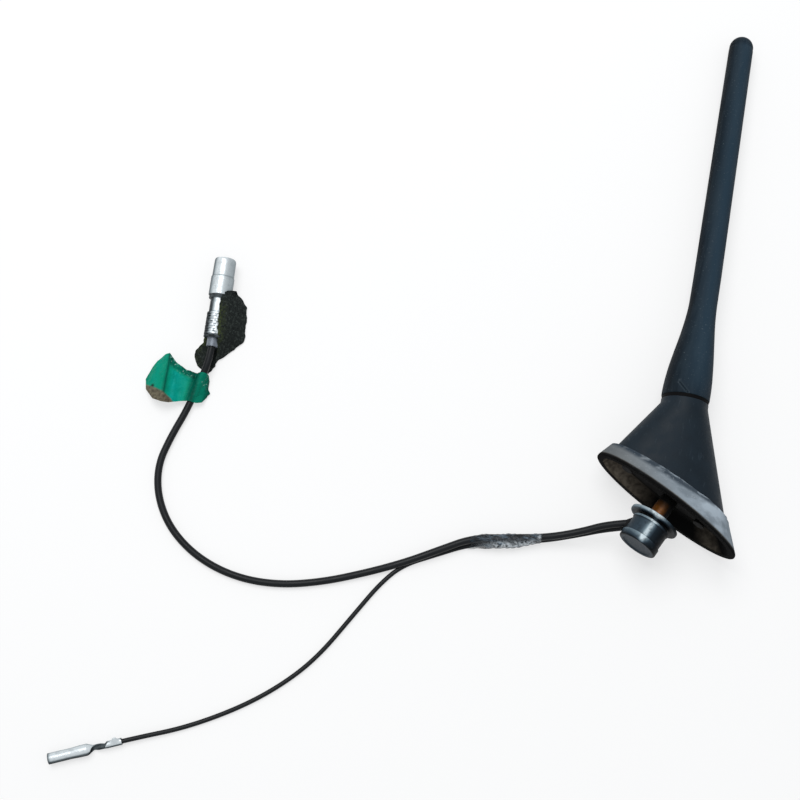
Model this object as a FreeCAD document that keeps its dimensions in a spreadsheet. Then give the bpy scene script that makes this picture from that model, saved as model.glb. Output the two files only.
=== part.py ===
"""Car roof antenna taken off its roof: raked rubber mast, oval foot, hollow fixing stud, two leads.

The antenna is drawn upright in its own frame, X to the front of the car and Z up from the roof,
and then laid on its side: the foot's rim and the mast's tip both touch the table, Z = 0, and the
mast runs along +Y. The leads, the plug and the terminal are drawn where they lie on the table.
"""
import FreeCAD, Part
import math
import os

import Sketcher
from FreeCAD import Placement, Rotation, Vector

# Driving dimensions, in millimetres and degrees
SIZES = [
    ("whole_length", 261.2, "stud's end to the mast's tip, as the antenna lies"),
    ("foot_reach", 73.2, "stud's end to the mast's foot face, as the antenna lies"),
    ("mast_length", "=whole_length - foot_reach", "foot face of the mast to its tip"),
    ("mast_tip_radius", 5.7, "domed tip"),
    ("mast_neck_radius", 6.3, "above the flare"),
    ("mast_foot_radius", 10.7, "at the seam"),
    ("mast_foot_land", 2.0, "straight edge below the flare"),
    ("flare_length", 46.0, "height of the flare"),
    ("rod_radius", 2.0, "core rod"),
    ("rod_end_gap", 10.0, "rubber beyond the rod"),
    ("winding_wall", 0.5, "close-wound wire"),
    ("winding_end_gap", 4.0, "bare rod beyond the winding"),
    ("ferrule_flange_radius", 6.0, "ferrule in the mast's foot"),
    ("ferrule_flange_thickness", 2.5, "its flange"),
    ("ferrule_barrel_radius", 4.0, "its crimped barrel"),
    ("ferrule_length", 16.0, "foot face to the top of the barrel"),
    ("ferrule_cup_depth", 10.0, "rod held in the barrel"),
    ("thread_radius", 2.5, "mast thread"),
    ("thread_length", 11.0, "below the foot face"),
    ("thread_clearance", 0.15, "round the thread"),
    ("ring_thickness", 1.6, "seam between mast and collar"),
    ("ring_radius", 10.4, "seal ring in the seam"),
    ("ring_bore_clearance", 0.5, "ring round the thread"),
    ("rake", 25.5, "mast leaning back, degrees"),
    ("seam_back", 20.4, "mast foot behind the middle of the roof face"),
    ("seam_height", 46.0, "mast foot above the roof face"),
    ("foot_length", 74.0, "roof seal outline"),
    ("foot_width", 36.0, "roof seal outline"),
    ("collar_radius", 10.5, "round top of the cover"),
    ("collar_height", 1.9, "straight part under the seam"),
    ("cover_length", 60.9, "cover outline where it leaves the seal"),
    ("cover_width", 24.0, "cover outline where it leaves the seal"),
    ("cover_back", 2.4, "cover outline behind the middle"),
    ("cover_wall", 2.2, "cover wall"),
    ("crown_depth", 14.0, "solid top of the cover"),
    ("socket_radius", 4.8, "threaded insert"),
    ("socket_tail", 1.5, "insert below the crown"),
    ("socket_spare", 1.0, "bore below the thread's end"),
    ("strap_thickness", 0.6, "feed strap"),
    ("strap_width", 4.0, "feed strap"),
    ("seal_height", 7.9, "cone's foot above the roof face"),
    ("seal_land", 1.0, "upright edge of the skirt"),
    ("seal_lip", 3.0, "flat lip on the roof"),
    ("seal_top_length", 60.6, "top edge of the skirt"),
    ("seal_top_width", 25.8, "top edge of the skirt"),
    ("seal_top_back", 4.7, "top edge of the skirt behind the middle"),
    ("seal_top_height", 10.4, "middle of the skirt's top edge"),
    ("seal_top_tilt", 3.7, "top edge of the skirt, higher in front, degrees"),
    ("recess_depth", 5.0, "hollow under the skirt"),
    ("recess_inset", 1.0, "top of the hollow inside the cover outline"),
    ("web_thickness", 1.0, "rubber between hollow and cover"),
    ("opening_length", 46.0, "opening in the web"),
    ("opening_width", 15.0, "opening in the web"),
    ("opening_back", 4.0, "opening behind the middle"),
    ("boss_clearance", 0.2, "plate boss in the opening"),
    ("plate_thickness", 1.8, "base plate"),
    ("plate_clearance", 0.15, "plate inside the cover"),
    ("rail_width", 2.0, "rails under the board"),
    ("rail_length", 22.0, "rails under the board"),
    ("rail_spread", 9.0, "rails under the board"),
    ("board_standoff", 1.5, "board above the plate"),
    ("board_thickness", 1.6, "circuit board"),
    ("board_length", 30.0, "circuit board"),
    ("board_width", 15.0, "circuit board"),
    ("board_back", 3.7, "board behind the stud"),
    ("can_length", 7.0, "shield can"),
    ("can_width", 9.0, "shield can"),
    ("can_height", 4.5, "shield can"),
    ("can_wall", 0.4, "shield can"),
    ("can_back", 10.1, "shield can behind the stud"),
    ("post_radius", 3.0, "screw posts in the cover"),
    ("rear_screw_back", 22.7, "behind the stud"),
    ("front_screw_ahead", 16.6, "ahead of the stud"),
    ("screw_radius", 1.5, "screw shank"),
    ("screw_grip", 7.0, "shank in the post"),
    ("screw_head_radius", 2.6, "pan head"),
    ("screw_head_height", 2.2, "pan head"),
    ("stud_back", 0.3, "stud behind the middle"),
    ("bush_radius", 3.9, "sleeve on the stud's neck"),
    ("stud_neck_radius", 3.0, "neck of the stud in the plate"),
    ("stud_neck_bore", 1.8, "neck of the stud in the plate"),
    ("stud_bore", 5.4, "hollow of the stud"),
    ("stud_roof", 1.9, "wall over the hollow"),
    ("stud_drop", 7.6, "stud collar below the roof face"),
    ("stud_collar_radius", 11.4, "stud collar"),
    ("stud_collar_height", 1.4, "stud collar"),
    ("stud_groove_radius", 7.4, "groove under the collar"),
    ("stud_groove_width", 1.4, "groove under the collar"),
    ("stud_ring_radius", 8.7, "ring under the groove"),
    ("stud_ring_height", 1.0, "ring under the groove"),
    ("stud_radius", 8.4, "stud body"),
    ("stud_body_length", 7.1, "stud body"),
    ("stud_end_radius", 8.9, "end ring"),
    ("stud_end_height", 3.4, "end ring"),
    ("stud_end_round", 1.0, "rounded end"),
    ("stud_floor", 1.4, "closed end of the stud"),
    ("stud_dish_radius", 7.0, "dish in the end of the stud"),
    ("stud_dish_depth", 1.6, "dish in the end of the stud"),
    ("boot_radius", 3.3, "lead boot"),
    ("boot_depth", 11.5, "boot axis on the stud axis, below the roof face"),
    ("boot_start", 4.6, "from the stud axis"),
    ("boot_end", 11.2, "from the stud axis"),
    ("boot_straight", 6.2, "straight leads beyond the boot"),
    ("boot_fall", 17.0, "boot axis below the roof plane, degrees"),
    ("boot_swing", 24.0, "boot axis from straight back, degrees"),
    ("boot_roll", 35.0, "the two leads turned about the boot axis, degrees"),
    ("coax_radius", 1.6, "coaxial lead"),
    ("wire_radius", 1.0, "feed wire"),
    ("lead_spacing", 2.9, "the two leads in the boot"),
    ("coax_grip", 6.0, "coaxial lead inside the plug"),
    ("end_straight", 6.0, "straight lead behind plug and terminal"),
    ("tape_length", 30.0, "tape round both leads"),
    ("tape_height", 6.8, "tape round both leads"),
    ("tape_width", 5.2, "tape round both leads"),
    ("plug_rise", 5.4, "plug axis above the table"),
    ("plug_radius", 5.0, "bright barrel"),
    ("plug_shell_length", 17.5, "bright barrel"),
    ("plug_shell_wall", 0.7, "bright barrel"),
    ("plug_nose_round", 1.6, "rounded nose"),
    ("plug_step_back", 8.0, "step line behind the nose"),
    ("plug_step_depth", 0.25, "step line"),
    ("plug_collar_radius", 4.6, "collar behind the barrel"),
    ("plug_collar_length", 1.6, "collar behind the barrel"),
    ("plug_waist_radius", 3.9, "smooth waist"),
    ("plug_waist_length", 6.6, "smooth waist"),
    ("plug_crimp_radius", 4.5, "crimped zone"),
    ("plug_crimp_length", 11.5, "crimped zone"),
    ("plug_crimp_rows", 4, "rows pressed into the crimp"),
    ("plug_crimp_groove", 0.4, "depth of a row"),
    ("plug_crimp_groove_width", 1.15, "width of a row"),
    ("plug_spigot_length", 4.0, "body inside the barrel"),
    ("ferrule_sleeve_radius", 2.6, "rear ferrule"),
    ("ferrule_sleeve_length", 4.0, "rear ferrule in view"),
    ("ferrule_sleeve_grip", 3.0, "rear ferrule in the body"),
    ("insulator_length", 10.0, "insulator in the barrel"),
    ("contact_radius", 0.9, "centre contact"),
    ("contact_proud", 1.2, "contact ahead of the insulator"),
    ("contact_tail", 2.0, "contact behind the insulator"),
    ("felt_thickness", 2.4, "felt tape"),
    ("felt_wall", 1.5, "felt round the plug"),
    ("felt_wrap_length", 22.0, "felt round the plug"),
    ("felt_wrap_start", 5.0, "felt round the plug"),
    ("felt_clearance", 0.15, "felt round the plug"),
    ("felt_tail", 14.0, "felt behind the plug"),
    ("flag_width", 15.0, "green tape along the lead"),
    ("flag_thickness", 0.7, "green tape, doubled"),
    ("flag_reach", 15.0, "lead to crease"),
    ("flag_rise", 5.5, "crease above the lead"),
    ("flag_fall", 9.0, "crease to free edge"),
    ("flag_ring_wall", 0.6, "tape round the lead"),
    ("terminal_radius", 2.3, "terminal barrel"),
    ("terminal_wall", 0.4, "terminal barrel"),
    ("terminal_length", 17.8, "terminal barrel"),
    ("terminal_slit", 0.7, "rolled seam"),
    ("terminal_neck_length", 6.5, "flat neck"),
    ("terminal_neck_width", 2.6, "flat neck"),
    ("terminal_neck_thickness", 1.0, "flat neck"),
    ("terminal_crimp_length", 6.5, "wings on the insulation"),
    ("terminal_wing_height", 1.9, "wings above the wire"),
    ("terminal_wing_width", 2.4, "wings across"),
]

# Where the leads lie on the table, from the middle of the roof face, along the photographed run of each
COAX_ROUTE = [
    (-33.0, -16.5, 8.4), (-46.0, -22.9, 5.3), (-61.0, -29.1, 4.4), (-78.5, -33.5, 3.8),
    (-92.0, -38.1, 2.6), (-105.5, -48.3, 1.6), (-121.5, -56.3, 1.6), (-139.5, -63.9, 1.6),
    (-158.0, -69.3, 1.6), (-176.5, -70.1, 1.6), (-194.0, -65.7, 1.6), (-208.5, -56.5, 1.6),
    (-217.7, -44.1, 1.6), (-221.5, -30.0, 1.6), (-220.3, -16.0, 1.6), (-216.7, -3.0, 1.8),
    (-213.1, 9.0, 2.6),
]
WIRE_ROUTE = [
    (-33.2, -17.7, 5.2), (-46.1, -23.9, 2.1), (-61.1, -29.7, 1.2), (-79.1, -35.1, 1.1),
    (-91.5, -41.7, 1.0), (-104.1, -51.9, 1.0), (-115.1, -63.5, 1.0), (-123.7, -79.2, 1.0),
    (-133.9, -95.9, 1.0), (-146.7, -110.9, 1.0), (-162.1, -123.3, 1.0), (-182.0, -135.1, 1.0),
]
TAPE_START = (-50.5, -25.3)
TAPE_END = (-78.5, -34.1)
PLUG_REAR = (-211.0, 26.9)
PLUG_HEADING = 95.3
FLAG_PLACE = (-213.4, 8.1)
FLAG_HEADING = -15.5
TERMINAL_REAR = (-206.4, -145.4)
TERMINAL_HEADING = 207.0
FELT_OUTLINE = [
    (1.9, 27.3), (7.3, 28.1), (12.4, 23.2), (13.5, 5.4), (8.5, -0.5), (3.6, -4.0), (0.8, -11.5),
    (-5.6, -8.6), (-7.8, -3.4), (-4.7, 2.7), (-4.5, 27.3),
]

doc = FreeCAD.newDocument("roof_antenna")
sheet = doc.addObject("Spreadsheet::Sheet", "Sizes")
for row, (alias, size, note) in enumerate(SIZES, start=1):
    sheet.set(f"A{row}", note)
    sheet.set(f"B{row}", str(size))
    sheet.setAlias(f"B{row}", alias)
doc.recompute()

pieces = {}


def expression(text):
    """An expression on the sheet, where $name stands for the size of that name."""
    return str(text).replace("$", "Sizes.")


def value(text):
    """The number that an expression gives now."""
    return float(sheet.evalExpression(expression(text)))


def bind(item, **properties):
    """Tie properties of an object to expressions; two underscores stand for a dot."""
    for name, text in properties.items():
        item.setExpression(name.replace("__", "."), expression(text))
    return item


def keep(item, label, place=Placement()):
    """Make an object a piece of the antenna, with its own label and place."""
    item.Label = label
    pieces[label] = (item, place)
    return item


def outline(body, corners, plane):
    """A closed sketch. Each corner is a pair of expressions; a third entry, the radius of an arc
    to the next corner, is negative where that arc turns clockwise."""
    sketch = body.newObject("Sketcher::SketchObject", body.Name + "_outline")
    origin_plane = [item for item in body.Origin.OriginFeatures if item.Role == plane][0]
    sketch.AttachmentSupport = [(origin_plane, "")]
    sketch.MapMode = "FlatFace"
    spots = [Vector(value(corner[0]), value(corner[1]), 0) for corner in corners]
    ends = []
    for index, corner in enumerate(corners):
        here, there = spots[index], spots[(index + 1) % len(spots)]
        if len(corner) == 2:
            sketch.addGeometry(Part.LineSegment(here, there), False)
            ends.append((1, 2))
            continue
        radius = value(corner[2])
        chord = there - here
        sagitta = abs(radius) - math.sqrt(radius ** 2 - chord.Length ** 2 / 4)
        side = Vector(chord.y, -chord.x, 0).normalize() * math.copysign(sagitta, radius)
        middle = (here + there) * 0.5 + side
        if radius > 0:
            sketch.addGeometry(Part.Arc(here, middle, there), False)
            ends.append((1, 2))
        else:
            sketch.addGeometry(Part.Arc(there, middle, here), False)
            ends.append((2, 1))
    for index, corner in enumerate(corners):
        after = (index + 1) % len(corners)
        sketch.addConstraint(Sketcher.Constraint("Coincident", index, ends[index][1], after, ends[after][0]))
        for kind, axis, text, size in (("DistanceX", -2, corner[0], spots[index].x),
                                       ("DistanceY", -1, corner[1], spots[index].y)):
            if text == "0":
                sketch.addConstraint(Sketcher.Constraint("PointOnObject", index, ends[index][0], axis))
            else:
                number = sketch.addConstraint(
                    Sketcher.Constraint(kind, -1, 1, index, ends[index][0], size))
                sketch.setExpression(f"Constraints[{number}]", expression(text))
        if len(corner) == 3:
            number = sketch.addConstraint(Sketcher.Constraint("Radius", index, abs(value(corner[2]))))
            sketch.setExpression(f"Constraints[{number}]", f"abs({expression(corner[2])})")
    return sketch


def turned(name, corners):
    """A piece turned about its own Z axis; corners are radius and height."""
    body = doc.addObject("PartDesign::Body", name)
    profile = outline(body, corners, "XZ_Plane")
    turn = body.newObject("PartDesign::Revolution", name + "_turn")
    turn.Profile = profile
    turn.ReferenceAxis = (profile, ["V_Axis"])
    turn.Angle = 360
    return body


def extruded(name, corners, plane, length, both_sides):
    """A piece of one outline, carried along the normal of its plane."""
    body = doc.addObject("PartDesign::Body", name)
    pad = body.newObject("PartDesign::Pad", name + "_pad")
    pad.Profile = outline(body, corners, plane)
    pad.SideType = "Symmetric" if both_sides else "One side"
    bind(pad, Length=length)
    body.Tip = pad
    return body


def ellipse(name, length, width, ahead, height):
    """A level ellipse, its length along X."""
    curve = doc.addObject("Part::Ellipse", name)
    return bind(curve, MajorRadius=f"({length}) / 2", MinorRadius=f"({width}) / 2",
                Placement__Base__x=ahead, Placement__Base__z=height)


def circle_on_mast(name, radius, below_seam):
    """A circle square to the mast's axis, some way below its foot face."""
    curve = doc.addObject("Part::Circle", name)
    lean(curve, below_seam)
    return bind(curve, Radius=radius)


def lean(item, below_seam):
    """Place an object on the mast's axis, some way below the mast's foot face."""
    item.Placement = Placement(Vector(), Rotation(Vector(0, -1, 0), value("$rake")))
    bind(item, Placement__Rotation__Angle="$rake",
         Placement__Base__x=f"-$seam_back + ({below_seam}) * sin($rake)",
         Placement__Base__z=f"$seam_height - ({below_seam}) * cos($rake)")


def slab(name, length, width, ahead, bottom, thickness):
    """An elliptical slab."""
    solid = doc.addObject("Part::Extrusion", name)
    solid.Base = ellipse(name + "_edge", length, width, ahead, bottom)
    solid.Dir = Vector(0, 0, 1)
    solid.Solid = True
    return bind(solid, LengthFwd=thickness)


def drum(name, radius, height, ahead="0", bottom="0", aside="0"):
    """An upright cylinder."""
    solid = doc.addObject("Part::Cylinder", name)
    return bind(solid, Radius=radius, Height=height, Placement__Base__x=ahead,
                Placement__Base__y=aside, Placement__Base__z=bottom)


def block(name, length, width, height, middle, bottom, aside="0"):
    """An upright box, centred on its middle along X and on aside along Y."""
    solid = doc.addObject("Part::Box", name)
    return bind(solid, Length=length, Width=width, Height=height,
                Placement__Base__x=f"{middle} - ({length}) / 2",
                Placement__Base__y=f"{aside} - ({width}) / 2", Placement__Base__z=bottom)


def loft(name, *sections):
    """A straight-sided solid between two closed curves."""
    solid = doc.addObject("Part::Loft", name)
    solid.Sections = list(sections)
    solid.Solid = True
    solid.Ruled = True
    return solid


def joined(name, *solids):
    solid = doc.addObject("Part::MultiFuse", name)
    solid.Shapes = list(solids)
    solid.Refine = True
    return solid


def cut(name, base, *tools):
    """The base with every tool taken away."""
    for index, tool in enumerate(tools):
        solid = doc.addObject("Part::Cut", f"{name}_{index}")
        solid.Base = base
        solid.Tool = tool
        base = solid
    return base


def shared(name, first, second):
    solid = doc.addObject("Part::Common", name)
    solid.Base = first
    solid.Tool = second
    return solid


# Mast, drawn on its own axis with its foot face at zero
rod_top = "($mast_length - $rod_end_gap)"
winding_top = f"({rod_top} - $winding_end_gap)"
winding_radius = "($rod_radius + $winding_wall)"
flare_top = "($mast_foot_land + $flare_length)"
flare_in = "($mast_foot_radius - $mast_neck_radius)"
flare_bend = f"(({flare_in}^2 + $flare_length^2) / (4 * {flare_in}))"
dome_foot = "($mast_length - $mast_tip_radius)"

mast_sheath = turned("mast_sheath", [
    ("$ferrule_flange_radius", "0"),
    ("$mast_foot_radius", "0"),
    ("$mast_foot_radius", "$mast_foot_land", flare_bend),
    ("($mast_foot_radius + $mast_neck_radius) / 2", "$mast_foot_land + $flare_length / 2", f"-{flare_bend}"),
    ("$mast_neck_radius", flare_top),
    ("$mast_tip_radius", dome_foot, "$mast_tip_radius"),
    ("0", "$mast_length"),
    ("0", rod_top),
    ("$rod_radius", rod_top),
    ("$rod_radius", winding_top),
    (winding_radius, winding_top),
    (winding_radius, "$ferrule_length"),
    ("$ferrule_barrel_radius", "$ferrule_length"),
    ("$ferrule_barrel_radius", "$ferrule_flange_thickness"),
    ("$ferrule_flange_radius", "$ferrule_flange_thickness"),
])

cup_floor = "($ferrule_length - $ferrule_cup_depth)"
mast_rod = turned("mast_rod", [
    ("0", cup_floor),
    ("$rod_radius", cup_floor),
    ("$rod_radius", rod_top),
    ("0", rod_top),
])

mast_winding = turned("mast_winding", [
    ("$rod_radius", "$ferrule_length"),
    (winding_radius, "$ferrule_length"),
    (winding_radius, winding_top),
    ("$rod_radius", winding_top),
])

mast_ferrule = turned("mast_ferrule", [
    ("0", "-$thread_length"),
    ("$thread_radius", "-$thread_length"),
    ("$thread_radius", "0"),
    ("$ferrule_flange_radius", "0"),
    ("$ferrule_flange_radius", "$ferrule_flange_thickness"),
    ("$ferrule_barrel_radius", "$ferrule_flange_thickness"),
    ("$ferrule_barrel_radius", "$ferrule_length"),
    ("$rod_radius", "$ferrule_length"),
    ("$rod_radius", cup_floor),
    ("0", cup_floor),
])

ring_bore = "($thread_radius + $ring_bore_clearance)"
mast_seal_ring = turned("mast_seal_ring", [
    (ring_bore, "-$ring_thickness"),
    ("$ring_radius", "-$ring_thickness"),
    ("$ring_radius", "0"),
    (ring_bore, "0"),
])

socket_bore = "($thread_radius + $thread_clearance)"
socket_end = "($ring_thickness + $crown_depth + $socket_tail)"
mast_socket = turned("mast_socket", [
    ("0", f"-{socket_end}"),
    ("$socket_radius", f"-{socket_end}"),
    ("$socket_radius", "-$ring_thickness"),
    (socket_bore, "-$ring_thickness"),
    (socket_bore, "-$thread_length - $socket_spare"),
    ("0", "-$thread_length - $socket_spare"),
])

# Cover: a loft from the oval foot to the round collar, hollow, with two screw posts
web_top = "($recess_depth + $web_thickness)"
plate_top = f"({web_top} + $plate_thickness)"
board_bottom = f"({plate_top} + $board_standoff)"
board_top = f"({board_bottom} + $board_thickness)"
collar_foot = "($ring_thickness + $collar_height)"
crown_foot = "($ring_thickness + $crown_depth)"
rear_screw = "(-$stud_back - $rear_screw_back)"
front_screw = "(-$stud_back + $front_screw_ahead)"

cone = loft("cone", ellipse("cone_foot", "$cover_length", "$cover_width", "-$cover_back", "$seal_height"),
            circle_on_mast("cone_top", "$collar_radius", collar_foot))
collar = doc.addObject("Part::Cylinder", "collar")
lean(collar, collar_foot)
bind(collar, Radius="$collar_radius", Height="$collar_height")
plinth = slab("plinth", "$cover_length", "$cover_width", "-$cover_back", web_top, f"$seal_height - {web_top}")
shape_of_cover = joined("shape_of_cover", cone, collar, plinth)

inner_length = "($cover_length - 2 * $cover_wall)"
inner_width = "($cover_width - 2 * $cover_wall)"
cavity = loft("cavity", ellipse("cavity_foot", inner_length, inner_width, "-$cover_back", "$seal_height"),
              circle_on_mast("cavity_top", "$collar_radius - $cover_wall", crown_foot))
cavity_mouth = slab("cavity_mouth", inner_length, inner_width, "-$cover_back", web_top,
                    f"$seal_height - {web_top}")
hollow = joined("hollow", cavity, cavity_mouth)
posts = joined("posts",
               drum("rear_post", "$post_radius", "$seam_height", rear_screw, plate_top),
               drum("front_post", "$post_radius", "$seam_height", front_screw, plate_top))
socket_hole = doc.addObject("Part::Cylinder", "socket_hole")
lean(socket_hole, socket_end)
bind(socket_hole, Radius="$socket_radius", Height=f"{socket_end} - $ring_thickness")
base_cover = cut("base_cover",
                 joined("cover_and_posts", cut("cover_shell", shape_of_cover, hollow),
                        shared("trimmed_posts", posts, shape_of_cover)),
                 socket_hole,
                 drum("rear_pilot", "$screw_radius", "$screw_grip", rear_screw, plate_top),
                 drum("front_pilot", "$screw_radius", "$screw_grip", front_screw, plate_top))

# Base plate: closes the cover, with a boss through the seal and two board rails
plate = slab("plate", f"{inner_length} - 2 * $plate_clearance", f"{inner_width} - 2 * $plate_clearance",
             "-$cover_back", web_top, "$plate_thickness")
boss = slab("boss", "$opening_length - 2 * $boss_clearance", "$opening_width - 2 * $boss_clearance",
            "-$opening_back", "$recess_depth", "$web_thickness")
board_middle = "(-$stud_back - $board_back)"
rails = [block(f"rail_{index}", "$rail_length", "$rail_width", "$board_standoff", board_middle, plate_top,
               f"{side} * $rail_spread / 2") for index, side in enumerate((-1, 1))]
whole_plate = joined("whole_plate", plate, boss, *rails)
plate_depth = f"({plate_top} - $recess_depth)"
base_plate = cut("base_plate", whole_plate,
                 drum("neck_hole", "$stud_neck_radius", plate_depth, "-$stud_back", "$recess_depth"),
                 drum("rear_screw_hole", "$screw_radius", plate_depth, rear_screw, "$recess_depth"),
                 drum("front_screw_hole", "$screw_radius", plate_depth, front_screw, "$recess_depth"))

screw_length = f"({plate_depth} + $screw_grip)"
screws = []
for name, ahead in (("rear", rear_screw), ("front", front_screw)):
    shank = drum(f"{name}_shank", "$screw_radius", screw_length, ahead, "$recess_depth")
    head = drum(f"{name}_head", "$screw_head_radius", "$screw_head_height", ahead,
                "$recess_depth - $screw_head_height")
    screws.append(joined(f"{name}_screw", shank, head))
base_screws = doc.addObject("Part::Compound", "base_screws")
base_screws.Links = screws

amplifier_board = doc.addObject("Part::Compound", "amplifier_board")
amplifier_board.Links = [slab("board", "$board_length", "$board_width", board_middle, board_bottom,
                              "$board_thickness")]
can_middle = "(-$stud_back - $can_back)"
shield_can = cut("shield_can",
                 block("can", "$can_length", "$can_width", "$can_height", can_middle, board_top),
                 block("can_hollow", "$can_length - 2 * $can_wall", "$can_width - 2 * $can_wall",
                       "$can_height - $can_wall", can_middle, board_top))

strap = doc.addObject("Part::Box", "strap")
strap_foot = f"(($seam_height - {board_top} + $board_thickness / 2) / cos($rake))"
lean(strap, strap_foot)
bind(strap, Length="$strap_thickness", Width="$strap_width", Height=f"{strap_foot} - {socket_end}",
     Placement__Base__y="-$strap_width / 2")
feed_strap = cut("feed_strap", strap,
                 slab("strap_trim", "$foot_length", "$foot_width", "0", board_bottom, "$board_thickness"))

# Roof seal: a flared skirt round the cover, hollow underneath, with a flat lip on the roof
skirt_top = ellipse("skirt_top", "$seal_top_length", "$seal_top_width", "-$seal_top_back", "$seal_top_height")
skirt_top.Placement.Rotation = Rotation(Vector(0, -1, 0), value("$seal_top_tilt"))
bind(skirt_top, Placement__Rotation__Angle="$seal_top_tilt")
skirt = loft("skirt", ellipse("skirt_foot", "$foot_length", "$foot_width", "0", "$seal_land"), skirt_top)
rim = slab("rim", "$foot_length", "$foot_width", "0", "0", "$seal_land")
recess = loft("recess", ellipse("recess_mouth", "$foot_length - 2 * $seal_lip", "$foot_width - 2 * $seal_lip",
                                "0", "0"),
              ellipse("recess_roof", "$cover_length - 2 * $recess_inset", "$cover_width - 2 * $recess_inset",
                      "-$cover_back", "$recess_depth"))
roof_seal = cut("roof_seal", joined("seal_shape", skirt, rim), recess, shape_of_cover,
                slab("opening", "$opening_length", "$opening_width", "-$opening_back", "$recess_depth",
                     "$web_thickness"))

# Stud, with its neck in the plate, and the bush on its neck between plate and collar
stud_bush = turned("stud_bush", [
    ("$stud_neck_radius", "-$stud_drop"),
    ("$bush_radius", "-$stud_drop"),
    ("$bush_radius", "$recess_depth"),
    ("$stud_neck_radius", "$recess_depth"),
])
stud_groove_top = "(-$stud_drop - $stud_collar_height)"
stud_ring_top = f"({stud_groove_top} - $stud_groove_width)"
stud_body_top = f"({stud_ring_top} - $stud_ring_height)"
stud_end_top = f"({stud_body_top} - $stud_body_length)"
stud_tip = f"({stud_end_top} - $stud_end_height)"
dish_floor = f"({stud_tip} + $stud_dish_depth)"
stud_blank = turned("stud_blank", [
    ("$stud_neck_bore", plate_top),
    ("$stud_neck_bore", "-$stud_drop - $stud_roof"),
    ("$stud_bore", "-$stud_drop - $stud_roof"),
    ("$stud_bore", f"{dish_floor} + $stud_floor"),
    ("0", f"{dish_floor} + $stud_floor"),
    ("0", dish_floor),
    ("$stud_dish_radius", dish_floor),
    ("$stud_dish_radius", stud_tip),
    ("$stud_end_radius - $stud_end_round", stud_tip, "$stud_end_round"),
    ("$stud_end_radius", f"{stud_tip} + $stud_end_round"),
    ("$stud_end_radius", stud_end_top),
    ("$stud_radius", stud_end_top),
    ("$stud_radius", stud_body_top),
    ("$stud_ring_radius", stud_body_top),
    ("$stud_ring_radius", stud_ring_top),
    ("$stud_groove_radius", stud_ring_top),
    ("$stud_groove_radius", stud_groove_top),
    ("$stud_collar_radius", stud_groove_top),
    ("$stud_collar_radius", "-$stud_drop"),
    ("$stud_neck_radius", "-$stud_drop"),
    ("$stud_neck_radius", plate_top),
])

# How the antenna lies: on the rim of its foot and the tip of its mast, its X axis level
rake = math.radians(value("$rake"))
mast_way = Vector(-math.sin(rake), 0, math.cos(rake))
seam = Vector(-value("$seam_back"), 0, value("$seam_height"))
tip_height = seam.z + mast_way.z * value(dome_foot) - value("$seal_land")
half_width = value("$foot_width / 2")
roll = (math.acos(value("$mast_tip_radius") / math.hypot(half_width, tip_height))
        - math.atan2(tip_height, half_width))
up = Vector(0, -math.cos(roll), -math.sin(roll))
along = (mast_way - up * mast_way.dot(up)).normalize()
turn_over = Placement(Vector(), Rotation(along.cross(up), along, up, "ZYX").inverted())
on_mast = Placement(seam, Rotation(Vector(0, -1, 0), value("$rake")))
on_stud = Placement(Vector(-value("$stud_back"), 0, 0), Rotation())

# Boot for the leads, out of the side of the stud; its own X points up from the table, rolled aside
fall = math.radians(value("$boot_fall"))
swing = math.radians(value("$boot_swing"))
boot_way = Vector(-math.cos(fall) * math.cos(swing), math.cos(fall) * math.sin(swing), -math.sin(fall))
boot_up = (up - boot_way * up.dot(boot_way)).normalize()
boot_place = Placement(Vector(-value("$stud_back"), 0, -value("$boot_depth")),
                       Rotation(boot_up, boot_way.cross(boot_up), boot_way, "ZXY")
                       * Rotation(Vector(0, 0, 1), value("$boot_roll")))
coax_shift = "(($lead_spacing - $coax_radius + $wire_radius) / 2)"
wire_shift = f"({coax_shift} - $lead_spacing)"
lead_boot = cut("lead_boot", drum("boot", "$boot_radius", "$boot_end - $boot_start", bottom="$boot_start"),
                drum("coax_bore", "$coax_radius", "$boot_end", coax_shift),
                drum("wire_bore", "$wire_radius", "$boot_end", wire_shift))
boot_hole = drum("boot_hole", "$boot_radius", "$boot_end")
boot_hole_in_stud = doc.addObject("Part::Compound", "boot_hole_in_stud")
boot_hole_in_stud.Links = [boot_hole]
boot_hole_in_stud.Placement = on_stud.inverse() * boot_place
mounting_stud = cut("mounting_stud", stud_blank, boot_hole_in_stud)

for label, item, place in (
        ("mast_sheath", mast_sheath, on_mast), ("mast_rod", mast_rod, on_mast),
        ("mast_winding", mast_winding, on_mast), ("mast_ferrule", mast_ferrule, on_mast),
        ("mast_seal_ring", mast_seal_ring, on_mast), ("mast_socket", mast_socket, on_mast),
        ("base_cover", base_cover, Placement()), ("base_plate", base_plate, Placement()),
        ("base_screws", base_screws, Placement()), ("amplifier_board", amplifier_board, Placement()),
        ("shield_can", shield_can, Placement()), ("feed_strap", feed_strap, Placement()),
        ("roof_seal", roof_seal, Placement()), ("stud_bush", stud_bush, on_stud),
        ("mounting_stud", mounting_stud, on_stud), ("lead_boot", lead_boot, boot_place)):
    keep(item, label, place)
doc.recompute()

# The origin is on the table under the middle of the antenna without its leads
box = FreeCAD.BoundBox()
for item, place in pieces.values():
    solid = item.Shape.copy()
    solid.Placement = turn_over * place
    box.add(solid.optimalBoundingBox(False, False))
lying = Placement(Vector(-box.Center.x, -box.Center.y, -box.ZMin), Rotation()) * turn_over
for label, (item, place) in pieces.items():
    pieces[label] = (item, lying * place)
foot_middle = lying.multVec(Vector())


def on_table(spot, level=0):
    """A place on the table or above it, from one that is measured from the middle of the roof face."""
    height = spot[2] if len(spot) == 3 else level
    return Vector(foot_middle.x + spot[0], foot_middle.y + spot[1], height)


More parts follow.
